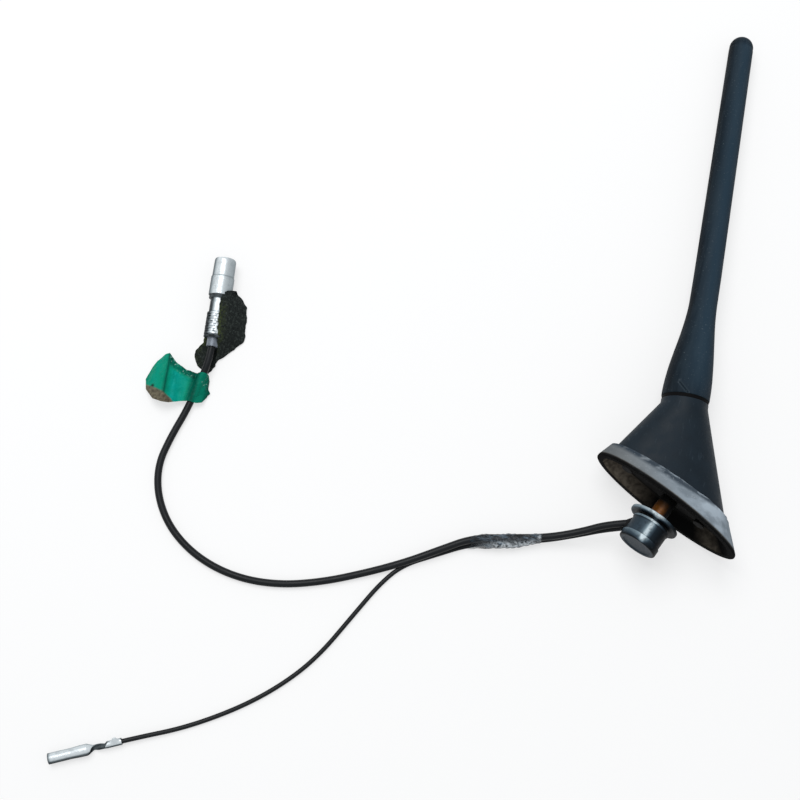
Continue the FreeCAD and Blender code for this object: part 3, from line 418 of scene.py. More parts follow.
cover_rows = [oval(60.9, 24.0, -2.4, 6.0), oval(60.9, 24.0, -2.4, 7.9), leaning(10.5, 3.5),
              leaning(10.5, 1.62), leaning(4.85, 1.62), leaning(4.85, 15.6), leaning(8.3, 15.6),
              oval(56.5, 19.6, -2.4, 7.9), oval(56.5, 19.6, -2.4, 6.0)]
cover_hoops = finer(soften(cover_rows, [0.4, 0.8, 1.0, 0.2, 0.3, 0.3, 0.5, 0.5, 0.4]), 1.5)
cover_points = placed(hoop_points(cover_hoops, COVER_COLUMNS), ROOF_FACE, FOOT_AXES)
cover_skin = skin("cover_skin", cover_points, loop_rows=True)
stands_for(cover_skin, "base_cover")
tree, shader, where, tone = moulded("cover_grain", cover_skin, paint(21, 33, 42), paint(27, 40, 50),
                                    0.55, size=0.35, depth=0.05, specular=0.2)
scratches = patches(tree, where, 1.2, 0.62, 0.72, 5.0, (1, 0.25, 0.6))
coloured(tree, shader, between(tree, scaled(tree, scratches, 0.3), tone, paint(62, 76, 86)))

# Board, socket and screws
# What the cover hides: the threaded brass socket, its feed strap, the amplifier board with its shield
# can, and the two black screws that clamp the base plate.
turned_metal("socket_brass", nodes["mast_socket"], BRASS, DULL_BRASS, 0.3)
turned_metal("strap_brass", nodes["feed_strap"], BRASS, WORN_BRASS, 0.35)
moulded("board_green", nodes["amplifier_board"], paint(30, 92, 58), paint(46, 116, 74), 0.4)
turned_metal("can_tin", nodes["shield_can"], paint(206, 206, 202), paint(150, 150, 146), 0.35)
moulded("screw_coat", nodes["base_screws"], paint(14, 14, 14), paint(24, 23, 22), 0.7, specular=0.12)

# Base plate
# A black coated plate that closes the cover, with a round boss through the seal for the stud's neck.
# Two screws clamp it to posts inside the cover.
moulded("plate_coat", nodes["base_plate"], paint(12, 12, 12), paint(22, 21, 20), 0.75, specular=0.1)

# Roof seal
# A rubber skirt round the cover, hollow underneath, with a flat lip that sits on the roof.
# Its band has gone chalky and grey-blue, grimy along its top, and is painted lighter round one side;
# its hollow is black with dry dust, painted lighter at some angles round it.
SEAL_COLUMNS = 192
RAGGED_FROM, RAGGED_FADE, RAGGED_RISE = 8.8, 1.6, 0.22
# The last two numbers of a row say how chalky it is outside and how dusty inside.
seal_rows = [oval(74.0, 36.0, 0, 0, 0.02, 0), oval(74.0, 36.0, 0, 1.0, 0.1, 0),
             [-0.5, 0, 2.0, 36.28, 0, 0.21, 0, 17.46, 0, 0.8, 0],
             [-4.25, 0, 9.5, 30.88, 0, 1.77, 0, 13.38, 0, 0.9, 0],
             [-4.7, 0, 10.4, 30.24, 0, 1.955, 0, 12.9, 0, 1.0, 0],
             [-4.415, 0, 10.42, 28.3, 0, 1.83, 0, 11.95, 0, 0.6, 0],
             oval(61.0, 24.1, -2.4, 7.9, 0, 0), oval(61.0, 24.1, -2.4, 5.95, 0, 0),
             oval(46.0, 15.0, -4.0, 5.95, 0, 0), oval(46.0, 15.0, -4.0, 5.0, 0, 0),
             oval(58.9, 22.0, -2.4, 5.0, 0, 0.7), oval(67.2, 29.2, -0.1, 0.4, 0, 1),
             oval(68.0, 30.0, 0, 0, 0, 0)]
seal_rounding = [0.5, 0.5, 0.3, 0.3, 0.5, 0.5, 0.3, 0.3, 0.3, 0.4, 1.2, 0.2, 0.3]
seal_hoops = finer(soften(seal_rows, seal_rounding), 0.8)
seal_chalk, seal_dust = seal_hoops[:, None, HOOP], seal_hoops[:, None, HOOP + 1]
seal_points = hoop_points(seal_hoops, SEAL_COLUMNS)
seal_angle = turns(SEAL_COLUMNS)[None, :]
# Painted light: the chalky band is painted lighter round one side, a painted highlight, and darker round
# the rest.
band_light = np.interp(seal_angle, [-180, -150, -120, -95, -72, -45, -22, 0, 90, 180],
                       [0.5, 0.55, 0.66, 0.82, 1.0, 0.98, 0.75, 0.6, 0.5, 0.5])
# Painted light: the dust in the hollow is painted lighter at some angles round it.
hollow_light = np.interp(seal_angle, [-180, -172, 14, 24, 38, 52, 92, 112, 135, 168, 180],
                         [0.2, 0, 0, 0.28, 0.28, 0, 0, 0.5, 0.85, 0.85, 0.2])
ragged = np.clip((seal_points[:, :, 2] - RAGGED_FROM) / RAGGED_FADE, 0, 1) * seal_chalk
seal_points[:, :, 2] += RAGGED_RISE * ragged * wobble(seal_points, 4.0, 21)
grime_edge = np.interp(seal_angle, [-180, -150, -120, -90, -62, -40, 0, 180],
                       [7.4, 6.9, 6.6, 7.2, 9.4, 12, 12, 12])
smudge = np.clip((seal_points[:, :, 2] - grime_edge) / 1.8 + 0.5, 0, 1) * (seal_chalk > 0.05)
seal_skin = skin("seal_skin", placed(seal_points, ROOF_FACE, FOOT_AXES), loop_rows=True, smudge=smudge,
                 chalk=seal_chalk * band_light, dried=seal_dust * hollow_light)
stands_for(seal_skin, "roof_seal")


def ramp(tree, share, *stops):
    """Colours along a mask, each given with its place from 0 to 1."""
    made = add(tree, "ShaderNodeValToRGB", {"Fac": share})
    steps = made.color_ramp.elements
    for place, colour in stops[1:-1]:
        steps.new(place).color = colour
    steps[0].position, steps[0].color = stops[0]
    steps[-1].position, steps[-1].color = stops[-1]
    return made.outputs[0]


tree, shader, where = material("seal_chalk", seal_skin, 0.85, specular=0.06)
tone = ramp(tree, marked(tree, "chalk"), (0.0, paint(8, 8, 8)), (0.12, paint(24, 24, 24)),
            (0.3, paint(70, 68, 64)), (0.5, paint(122, 127, 130)), (0.75, paint(154, 166, 176)),
            (1.0, paint(204, 218, 230)))
scuffs = patches(tree, where, 4.5, 0.46, 0.66, 8.0, (0.5, 0.8, 1))
chalky = scaled(tree, scuffs, scaled(tree, marked(tree, "chalk"), 0.55))
tone = between(tree, chalky, tone, paint(66, 74, 82))
ragged_grime = patches(tree, where, 3.0, 0.3, 0.52, 6.0, (0.5, 0.8, 1))
grime = scaled(tree, marked(tree, "smudge"), ragged_grime)
tone = between(tree, scaled(tree, grime, 0.9), tone, paint(48, 59, 70))
streaky = patches(tree, where, 2.2, 0.3, 0.62, 5.0)
dust = between(tree, streaky, paint(84, 76, 66), paint(138, 128, 114))
tone = between(tree, marked(tree, "dried"), tone, dust)
rubs = patches(tree, where, 0.8, 0.62, 0.7, 3.0)
pale = scaled(tree, rubs, scaled(tree, marked(tree, "chalk"), 0.5))
coloured(tree, shader, between(tree, pale, tone, paint(186, 194, 200)))
bumped(tree, shader, scuffs, 0.05, 0.4)

# Bush
# A yellow-passivated sleeve on the stud's neck, between the base plate and the stud's collar, with
# painted shade on one side and next to the plate.


def along(tree, where, origin, way, low, high):
    """A mask from 0 to 1 between two distances, in millimetres, along a direction from an origin."""
    gap = add(tree, "ShaderNodeVectorMath", {0: where, 1: tuple(origin * MM)}, operation="SUBTRACT")
    far = add(tree, "ShaderNodeVectorMath", {0: gap.outputs[0], 1: tuple(way)}, operation="DOT_PRODUCT")
    ends = {"Value": far.outputs["Value"], "From Min": low * MM, "From Max": high * MM}
    return add(tree, "ShaderNodeMapRange", ends).outputs[0]


tree, shader, where = material("bush_yellow", nodes["stud_bush"], 0.4, 0.3)
grime = patches(tree, where, 1.2, 0.4, 0.65)
tone = between(tree, scaled(tree, grime, 0.6), paint(122, 72, 8), paint(86, 44, 6))
# Painted shade: near black on one side of the bush and next to the plate.
one_side = along(tree, where, ROOF_FACE, FOOT_AXES[0], -0.4, 1.4)
near_plate = along(tree, where, ROOF_FACE, FOOT_AXES[2], -3.0, 1.2)
tone = between(tree, one_side, tone, paint(14, 12, 10))
coloured(tree, shader, between(tree, near_plate, tone, paint(12, 12, 10)))
roughened(tree, shader, grime, 0.35, 0.5)
bumped(tree, shader, grime, 0.03, 0.5)

# Stud
# A hollow zinc-plated fixing stud with a collar, a groove, a ring and a dished end; its narrow neck is
# riveted in the base plate. Its zinc is a dull dark blue-grey, with a painted highlight streak and
# painted bright edges on its near side, and painted shade on its far side, in its groove and on its
# neck.
STUD_MIDDLE = ROOF_FACE - 0.3 * FOOT_AXES[0]
STUD_COLUMNS = 144
END_FACE, END_TONE = -2, 0.36
# Radius, height and how much lighter than the rest of the stud it is painted, as painted highlights on
# edges and painted shade in the groove and on the neck; the dished end has one tone.
stud_profile = [(3.0, 7.8, -0.5), (3.0, -7.6, -0.5), (10.6, -7.6, -0.3), (11.4, -7.6, 0.5),
                (11.4, -9.0, 0.3), (7.4, -9.0, -0.5), (7.4, -10.4, -0.5), (8.7, -10.4, 0.3),
                (8.7, -11.4, 0.25), (8.4, -11.4, -0.15), (8.4, -12.2, 0.0), (8.4, -18.2, 0.0),
                (8.4, -18.5, -0.2), (8.9, -18.5, 0.3), (8.9, -20.4, 0.05), (8.9, -21.9, -0.25),
                (7.0, -21.9, END_FACE), (6.6, -21.5, END_FACE), (0.6, -21.4, END_FACE)]
stud_rounding = [0.1, 0.1, 0.3, 0.4, 0.5, 0.3, 0.3, 0.3, 0.2, 0.2, 0.2, 0.2, 0.1, 0.3, 0.4, 0.9, 0.4,
                 0.2, 0.1]
stud_hoops = finer(soften(round_hoops(stud_profile), stud_rounding, loop=False), 0.8, False)
lighter = stud_hoops[:, None, HOOP]
stud_angle = turns(STUD_COLUMNS)[None, :]
# Painted light round the stud: a painted highlight streak on its near side and painted shade on its far
# side.
stud_light = np.interp(stud_angle, [-180, -140, -116, -110, -103, -96, -89, -80, -55, 0, 90, 180],
                       [0.34, 0.42, 0.5, 0.62, 0.95, 0.95, 0.58, 0.3, 0.05, 0.0, 0.2, 0.34])
edge_light = np.interp(stud_angle, [-180, -95, -70, -50, 0, 90, 180], [1, 1, 0.6, 0.1, 0.1, 0.8, 1])
plating = np.where(lighter < END_FACE / 2, END_TONE, np.clip(stud_light + lighter * edge_light, 0, 1))
stud_points = placed(hoop_points(stud_hoops, STUD_COLUMNS), STUD_MIDDLE, FOOT_AXES)
stud_skin = skin("stud_skin", stud_points, poles=(True, True), plating=plating)
stands_for(stud_skin, "mounting_stud")
tree, shader, where = tool_marked("stud_zinc", stud_skin, 0.42, 0.1, specular=0.08)
tone = ramp(tree, marked(tree, "plating"), (0.0, paint(5, 7, 9)), (0.3, paint(30, 40, 48)),
            (0.5, paint(62, 77, 88)), (0.75, paint(124, 142, 152)), (1.0, paint(212, 226, 232)))
blots = patches(tree, where, 1.6, 0.5, 0.65, 5.0)
coloured(tree, shader, between(tree, scaled(tree, blots, 0.45), tone, paint(36, 44, 50)))

# Lead boot
# A short rubber boot in the stud's side hole, round both leads. It is a moulded taper, pressed into the
# hole, and leans a little with the leads.
BOOT_FOOT = np.array([-5.4352, -117.6527, 18.7010])
BOOT_WAY = np.array([-0.923920, 0.092730, -0.371178])
BOOT_UP = np.array([-0.245252, 0.601073, 0.760633])
BOOT_AXES = np.array([BOOT_UP, np.cross(BOOT_WAY, BOOT_UP), BOOT_WAY])
BOOT_LENGTH, BOOT_LEAN, BOOT_COLUMNS = 11.2, 2.0, 48
boot_profile = [(0.4, 4.6), (3.3, 4.6), (3.3, 7.4), (2.5, 10.6), (0.4, BOOT_LENGTH)]
boot_hoops = finer(soften(round_hoops(boot_profile), 0.5, loop=False), 0.6, False)
boot_hoops[:, :3] += np.clip(boot_hoops[:, 2:3] / 5 - 1.2, 0, 1) * BOOT_LEAN * (BOOT_AXES @ [0, -1, 0])
boot_points = placed(hoop_points(boot_hoops, BOOT_COLUMNS), BOOT_FOOT, BOOT_AXES)
boot_skin = skin("boot_skin", boot_points, poles=(True, True))
stands_for(boot_skin, "lead_boot")
moulded("boot_rubber", boot_skin, paint(12, 12, 13), paint(24, 25, 27), 0.6, specular=0.2)

# Leads
# A coaxial lead and a thinner feed wire, in satin black jackets, side by side out of the boot and under
# the tape, then apart: the coaxial lead round to its plug, the wire to its crimped terminal.
COAX_DIAMETER, WIRE_DIAMETER = 3.2, 2.0
COAX_ROUTE = [
    (-9.967, -116.535, 17.868), (-21.8, -119.4, 13.1), (-33.2, -125.3, 8.4), (-46.2, -130.4, 5.4),
    (-61.2, -133.9, 4.6), (-78.7, -137.9, 4.2), (-92.2, -146.4, 3.8), (-105.7, -154.9, 2.6),
    (-121.7, -163.2, 1.7), (-139.7, -171.3, 1.6), (-158.2, -176.7, 1.6), (-176.7, -177.5, 1.6),
    (-194.2, -173.1, 1.6), (-208.7, -163.9, 1.6), (-217.9, -151.5, 1.6), (-221.7, -137.4, 1.6),
    (-219.2, -123.4, 1.6), (-215.4, -110.4, 1.8), (-213.3, -98.4, 2.6), (-210.661, -86.497, 5.4),
    (-211.769, -74.549, 5.4),
]
WIRE_ROUTE = [
    (-9.256, -118.278, 15.662), (-21.1, -121.5, 10.9), (-33.4, -126.7, 5.2), (-46.3, -131.7, 2.1),
    (-61.3, -135.6, 1.2), (-79.3, -140.9, 1.1), (-93.5, -149.0, 1.0), (-106.5, -156.4, 1.0),
    (-114.5, -166.5, 1.0), (-122.5, -181.5, 1.0), (-134.1, -203.3, 1.0), (-146.9, -218.3, 1.0),
    (-162.3, -231.2, 1.0), (-182.2, -243.6, 1.0), (-201.2, -251.82, 2.3), (-212.46, -257.19, 2.3),
]


def dusted(tree, shader, tone, dust, amount):
    """Pale dust on what faces up."""
    normal = add(tree, "ShaderNodeNewGeometry").outputs["Normal"]
    facing = add(tree, "ShaderNodeSeparateXYZ", {0: normal}).outputs[2]
    levels = {"Value": facing, "From Min": 0.35, "From Max": 1.0, "To Max": amount}
    coloured(tree, shader, between(tree, add(tree, "ShaderNodeMapRange", levels).outputs[0], tone, dust))


def lead(name, route, diameter):
    """A round lead on a smooth curve, with the route as its control points, and its middle line."""
    curve = bpy.data.curves.new(name, "CURVE")
    curve.dimensions = "3D"
    spline = curve.splines.new("NURBS")
    spline.points.add(len(route) - 1)
    controls = np.hstack([np.array(route) * MM, np.ones((len(route), 1))])
    spline.points.foreach_set("co", controls.ravel())
    spline.order_u = 3
    spline.use_endpoint_u = True
    curve.resolution_u = 16
    made = new_object(name, curve)
    line = bpy.data.meshes.new_from_object(made)
    points = np.empty(3 * len(line.vertices))
    line.vertices.foreach_get("co", points)
    bpy.data.meshes.remove(line)
    curve.bevel_depth = diameter / 2 * MM
    curve.bevel_resolution = 6
    curve.use_fill_caps = True
    tree, shader, _, tone = moulded(name + "_jacket", made, paint(13, 14, 16), paint(20, 22, 25), 0.4,
                                    size=0.25, depth=0.015, specular=0.2)
    dusted(tree, shader, tone, paint(84, 90, 94), 0.1)
    return made, points.reshape(-1, 3) / MM


coax, coax_line = lead("coax_lead", COAX_ROUTE, COAX_DIAMETER)
stands_for(coax, "coax_cable")
wire, wire_line = lead("feed_lead", WIRE_ROUTE, WIRE_DIAMETER)
stands_for(wire, "feed_wire")

# Clear tape
# A strip of clear packing tape wound round both leads, dark over them and crinkled along one edge, with
# painted reflections: bluish streaks, and silvery flecks where it stands off along that edge.
TAPE_COLUMNS = 96
TAPE_SLACK, TABLE_GAP = 1.7, 0.15
tape_stops = np.linspace(-49.2, -80.0, 90)


def line_at(line, across):
    """Points of a lead where its X has the given values."""
    order = np.argsort(line[:, 0])
    return np.stack([np.interp(across, line[order, 0], line[order, n]) for n in range(3)], axis=1)


upper, lower = line_at(coax_line, tape_stops), line_at(wire_line, tape_stops)
coax_radius, wire_radius = COAX_DIAMETER / 2, WIRE_DIAMETER / 2
tape_middle = (upper * coax_radius + lower * wire_radius) / (coax_radius + wire_radius)
tape_middle[:, 1] -= np.interp(tape_stops, [-80, -70, -58, -49.2], [0.2, 0.7, 0.7, 0.0])
spread = (upper - lower) / 2
tape_way = np.gradient(tape_middle, axis=0)
tape_way /= np.linalg.norm(tape_way, axis=1)[:, None]
tall = spread / np.linalg.norm(spread, axis=1)[:, None]
wide = np.cross(tape_way, tall)
tall_size = np.linalg.norm(spread, axis=1)[:, None] + TAPE_SLACK
wide_size = np.interp(tape_stops, [-80, -72, -62, -55, -51, -49.2],
                      [2.2, 2.9, 3.0, 2.4, 1.9, 1.75])[:, None]
tape_points = hoop_points(np.hstack([tape_middle, tall * tall_size, wide * wide_size]), TAPE_COLUMNS)
tape_angle = turns(TAPE_COLUMNS)[None, :]
lifting = np.interp(tape_stops, [-80, -72, -66, -53, -51], [0, 0.3, 1, 1, 0.2])[:, None]
# Painted reflection: silvery on the side where the tape stands off the leads, and at the bead by its
# end.
silver = bell(tape_angle, -78, 30) * lifting
bead = bell(tape_stops, -50.3, 0.7)[:, None] * bell(tape_angle, -25, 28)
outward = tape_points - tape_middle[:, None]
outward /= np.linalg.norm(outward, axis=2)[:, :, None]
crinkle = (0.14 * wobble(tape_points, 2.4, 3) + (0.15 + 0.3 * silver) * wobble(tape_points, 5.0, 4)
           + 0.35 * bead)
tape_points = tape_points + outward * crinkle[:, :, None]
tape_points[:, :, 2] = np.maximum(tape_points[:, :, 2], TABLE_GAP)
tape_film = skin("tape_film", tape_points, silver=np.clip(silver + bead, 0, 1),
                 cover=np.interp(tape_stops, [-80, -74, -70], [0.15, 0.6, 0.9])[:, None] + 0 * silver)
stands_for(tape_film, "tape_wrap")
tree, shader, where = material("tape_clear", tape_film, 0.25)
# Painted sheen and reflection: bluish streaks, and silvery flecks along the standing-off edge.
streaks = patches(tree, where, 1.5, 0.5, 0.64, 5.0, (0.35, 1, 1))
tone = between(tree, scaled(tree, streaks, 0.75), paint(22, 30, 37), paint(92, 112, 128))
flecks = patches(tree, where, 0.9, 0.36, 0.56, 4.0)
lifted = scaled(tree, marked(tree, "silver"), flecks)
coloured(tree, shader, between(tree, lifted, tone, paint(226, 234, 240)))
tree.links.new(marked(tree, "cover"), shader.inputs["Alpha"])
bumped(tree, shader, patches(tree, where, 1.0, 0.3, 0.7), 0.25)

# Plug
# A coaxial aerial plug: bright nickel barrel with a rounded nose, a smooth waist, a crimped body with
# rows of pits and a grey rear ferrule; the insulator and the pin show in the nose.
PLUG_REAR = np.array([-211.2152, -80.5234, 5.4])
PLUG_WAY = np.array([-0.092371, 0.995725, 0])
PLUG_AXES = np.array([[0, 0, 1], np.cross(PLUG_WAY, [0, 0, 1]), PLUG_WAY])
PLUG_COLUMNS = 120
CRIMP_START, CRIMP_END = 4.6, 15.2
PITS_FROM, PIT_SPACING, PITS_ROUND, PIT_DEPTH = 4.0, 2.3, 9, 0.17


def nickel(name, piece, roughness):
    """Satin nickel plate with painted light and shade: bright and more metallic where a mark is high,
    dark where it is low.
    """
    tree, shader, where = tool_marked(name, piece, roughness, 0.3, specular=0.04)
    tree.links.new(scaled(tree, marked(tree, "clean"), 0.3), shader.inputs["Metallic"])
    tone = ramp(tree, marked(tree, "clean"), (0.0, paint(34, 38, 40)), (0.3, paint(96, 104, 108)),
                (0.6, paint(172, 182, 186)), (1.0, paint(240, 247, 250)))
    stain = patches(tree, where, 1.8, 0.5, 0.68, 5.0)
    coloured(tree, shader, between(tree, scaled(tree, stain, 0.3), tone, paint(140, 150, 154)))


barrel_profile = [(4.3, 23.7), (5.25, 23.7), (5.25, 32.2), (4.95, 32.5), (4.85, 41.2), (2.75, 41.2),
                  (4.3, 39.6)]
barrel_hoops = finer(soften(round_hoops(barrel_profile), [0.1, 0.35, 0.12, 0.12, 1.7, 0.3, 0.3], 7), 0.5)
plug_angle = turns(PLUG_COLUMNS)[None, :]
# Painted light round the barrel: a dark edge on one side, a painted highlight across its top, painted
# shade at its step.
barrel_clean = np.interp(plug_angle, [-180, -95, -56, -44, -32, 8, 30, 62, 95, 180],
                         [0.2, 0.2, 0.36, 0.7, 1.0, 0.9, 0.72, 0.6, 0.4, 0.2])
barrel_clean = barrel_clean * (1 - 0.4 * bell(barrel_hoops[:, None, 2], 32.35, 0.3))
barrel_points = placed(hoop_points(barrel_hoops, PLUG_COLUMNS), PLUG_REAR, PLUG_AXES)
plug_barrel = skin("plug_barrel", barrel_points, loop_rows=True, clean=barrel_clean)
stands_for(plug_barrel, "plug_shell")
nickel("barrel_nickel", plug_barrel, 0.26)
# Radius, height and how bright it is painted: painted shade at its ends, at the waist's step and on the
# flange.
body_profile = [(1.7, 4.0, 0.5), (4.5, 4.0, 0.0), (4.5, 4.9, 0.1), (4.5, 5.3, 1), (4.5, 15.5, 1),
                (3.9, 15.5, 0.5), (3.9, 16.2, 1), (3.9, 22.1, 1), (4.8, 22.1, 0.15), (4.8, 23.7, 0.15),
                (4.25, 23.7, 0.3), (4.25, 27.7, 0.3), (1.7, 27.7, 0.3)]
body_rounding = [0.2, 0.5, 0.2, 0.2, 0.3, 0.2, 0.2, 0.2, 0.25, 0.25, 0.1, 0.2, 0.2]
body_hoops = finer(soften(round_hoops(body_profile), body_rounding), 0.3)
body_points = hoop_points(body_hoops, PLUG_COLUMNS)
depth_along = body_points[:, :, 2]
row = (depth_along - PITS_FROM) / PIT_SPACING
pit_turn = np.radians(plug_angle) * PITS_ROUND + np.floor(row * 2) * math.pi
pits = np.cos(row * TURN) ** 2 * np.cos(pit_turn / 2) ** 2
pits = np.clip(pits ** 2 * (0.75 + 0.6 * wobble(body_points, 2.6, 31)), 0, 1)
outside = np.hypot(body_points[:, :, 0], body_points[:, :, 1]) > 4
pits = np.where((depth_along > CRIMP_START) & (depth_along < CRIMP_END) & outside, pits, 0)
body_points[:, :, :2] *= (1 - PIT_DEPTH * pits)[:, :, None]
# Painted light round the crimp: a dark side, a painted highlight across its top, and painted shade in
# its pits.
body_clean = np.interp(plug_angle, [-180, -95, -42, -30, -18, 15, 40, 95, 180],
                       [0.1, 0.02, 0.08, 0.5, 1.0, 1.0, 0.8, 0.4, 0.1])
plug_crimp = skin("plug_crimp", placed(body_points, PLUG_REAR, PLUG_AXES), loop_rows=True,
                  clean=np.clip(body_clean * body_hoops[:, None, HOOP] - 0.85 * pits, 0, 1))
stands_for(plug_crimp, "plug_body")
nickel("crimp_nickel", plug_crimp, 0.32)
turned_metal("ferrule_tin", nodes["plug_ferrule"], paint(128, 136, 146), paint(84, 90, 98), 0.45, 0.4)
moulded("insulator_white", nodes["plug_insulator"], paint(222, 220, 212), paint(206, 202, 190), 0.5)
turned_metal("pin_brass", nodes["plug_pin"], BRASS, WORN_BRASS, 0.3)

# Felt
# Self-adhesive black felt, torn to shape: it lies under the back of the plug, is folded back on itself
# at the right and comes up over the right half of the plug, with its torn edge along the plug's top.
# At places along the plug: the left edge, the fold and the torn edge, across the plug, and how far the
# folded half is lifted; then the height of that half, from the torn edge to the fold.
felt_along = np.array([-11.5, -10.5, -8.6, -4.7, -1.9, 2.7, 5.4, 10.3, 18.6, 21.6, 24.9, 25.9, 26.4])
felt_left = np.array([-1.4, -2.6, -5.6, -7.8, -7.6, -4.7, -4.6, -4.5, -3.6, -2.0, 1.0, 3.0, 6.8])
felt_fold = np.array([0.2, 0.7, 1.7, 3.4, 6.6, 11.0, 13.5, 13.4, 12.8, 12.4, 9.8, 8.6, 7.6])
felt_top = np.array([0.2, 0.7, 1.7, 2.6, 2.4, 2.2, 1.8, 1.5, 0.9, 1.0, 2.4, 4.2, 7.2])
felt_lift = np.array([0.0, 0.0, 0.05, 0.15, 0.3, 0.72, 0.92, 1.0, 1.0, 1.0, 1.0, 0.95, 0.8])
fold_share = np.array([0, 0.12, 0.3, 0.5, 0.7, 0.85, 1.0])
fold_rise = np.array([10.3, 10.2, 9.1, 6.4, 3.9, 2.3, 0.9])
FELT_ROWS, UNDER_COLUMNS, OVER_COLUMNS = 100, 36, 49
felt_at = np.linspace(felt_along[0], felt_along[-1], FELT_ROWS)[:, None]
left, fold, top, lift = [np.interp(felt_at, felt_along, line)
                         for line in (felt_left, felt_fold, felt_top, felt_lift)]
under = np.linspace(0, 1, UNDER_COLUMNS)[None, :]
over = np.linspace(1, 0, OVER_COLUMNS + 1)[None, 1:]
felt_p = np.hstack([left + (fold - left) * under, top + (fold - top) * over])
over_rise = fold_rise[-1] + lift * (np.interp(over, fold_share, fold_rise) - fold_rise[-1])
felt_z = np.hstack([np.broadcast_to(0.35 + 0.3 * under, (FELT_ROWS, UNDER_COLUMNS)), over_rise])
felt_grid = np.stack([felt_p, np.broadcast_to(felt_at, felt_p.shape), felt_z], axis=2)
loose = np.hstack([np.zeros((1, UNDER_COLUMNS)), np.ones((1, OVER_COLUMNS))])
felt_grid[:, :, 2] += 0.22 * loose * wobble(felt_grid, 4.0, 8)
felt_grid[:, :, 0] += 0.3 * wobble(felt_grid, 3.0, 9) * np.clip((felt_along[-1] - felt_at) / 4, 0, 1)
felt_axes = np.array([[PLUG_WAY[1], -PLUG_WAY[0], 0], PLUG_WAY, [0, 0, 1]])
felt_points = placed(felt_grid, [PLUG_REAR[0], PLUG_REAR[1], 0], felt_axes)
felt_points[:, :, 2] = np.maximum(felt_points[:, :, 2], TABLE_GAP)
torn_along = np.interp(felt_at, [0, 4, 18, 22], [0.3, 1, 0.8, 0])
torn = np.hstack([bell(under, 0, 0.25), bell(over, 0, 0.22)]) * torn_along
felt = skin("felt_piece", felt_points, loop_columns=False, torn=torn)
stands_for(felt, "felt_wrap")
tree, shader, where = material("felt_nap", felt, 0.95, specular=0.1)
tufts = patches(tree, where, 1.1, 0.5, 0.66, 5.0)
tone = between(tree, scaled(tree, tufts, 0.5), paint(40, 45, 44), paint(84, 92, 88))
fray = patches(tree, where, 1.0, 0.4, 0.58, 4.0)
frayed = scaled(tree, scaled(tree, marked(tree, "torn"), fray), 0.9)
coloured(tree, shader, between(tree, frayed, tone, paint(74, 84, 48)))
bumped(tree, shader, patches(tree, where, 0.5, 0.3, 0.7), 0.4)


# Marker flag
# Green tape stuck round the coaxial lead and back on itself, creased into a low tent. One corner has
# curled over and shows its grey-brown gummed side.
flag_share = np.array([0, 0.06, 0.12, 0.22, 0.34, 0.52, 0.7, 0.78, 0.9, 1.0])
flag_upper = np.array([(-208.9, -95.4), (-209.7, -93.1), (-212.2, -92.8), (-215.2, -93.5),
                       (-219.7, -93.1), (-224.7, -91.1), (-228.3, -87.9), (-230.3, -88.5),
                       (-233.5, -91.7), (-235.2, -94.7)])
flag_lower = np.array([(-208.3, -102.8), (-209.7, -105.8), (-212.2, -106.8), (-215.7, -106.6),
                       (-219.7, -107.7), (-223.5, -109.4), (-226.6, -110.0), (-231.0, -109.3),
                       (-235.3, -105.5), (-236.9, -100.7)])
flag_rise = np.array([0.9, 2.6, 3.6, 3.6, 3.8, 5.0, 7.0, 5.4, 2.4, 0.7])
LEAD_CLEARANCE, FLAG_LOWEST = 2.35, 0.4
# s runs along the flag, t across it from its lower edge to its upper edge.
s = np.linspace(0, 1, 120)[:, None]
t = np.linspace(0, 1, 70)[None, :]
upper_line, lower_line = [np.stack([np.interp(s, flag_share, line[:, n]) for n in range(2)], axis=2)
                          for line in (flag_upper, flag_lower)]
flag_flat = lower_line * (1 - t[:, :, None]) + upper_line * t[:, :, None]
flag_flat[:, :, 0] += 1.1 * bell(t, 0.28, 0.15) * np.clip(1 - s / 0.08, 0, 1)
flag_level = np.interp(s, flag_share, flag_rise) + 0 * t
flag_points = np.concatenate([flag_flat, flag_level[:, :, None]], axis=2)
curled = np.clip((t - 0.78) / 0.22, 0, 1) * np.interp(s, [0.2, 0.3, 0.62, 0.7], [0, 1, 1, 0])
flag_points[:, :, 2] += (0.3 * wobble(flag_points, 6.0, 12) + 1.1 * curled ** 2
                         + 0.35 * curled * wobble(flag_points, 2.0, 13))
near_line = coax_line[(coax_line[:, 0] < -205) & (coax_line[:, 1] > -125)]
gaps = np.linalg.norm(flag_points[:, :, None, :2] - near_line[None, None, :, :2], axis=3)
gap = gaps.min(2)
over_lead = near_line[gaps.argmin(2), 2] + np.sqrt(np.maximum(LEAD_CLEARANCE ** 2 - gap ** 2, 0))
lowest = np.maximum(np.where(gap < LEAD_CLEARANCE, over_lead, 0), FLAG_LOWEST)
flag_points[:, :, 2] = np.maximum(flag_points[:, :, 2], lowest)
gum_edge = np.interp(flag_points[:, :, 0], [-237, -231.2, -227.4, -223.2, -220],
                     [-103.0, -104.3, -105.3, -107.5, -110.5])
gummed = np.clip((gum_edge - flag_points[:, :, 1]) / 0.8 + 0.5, 0, 1)
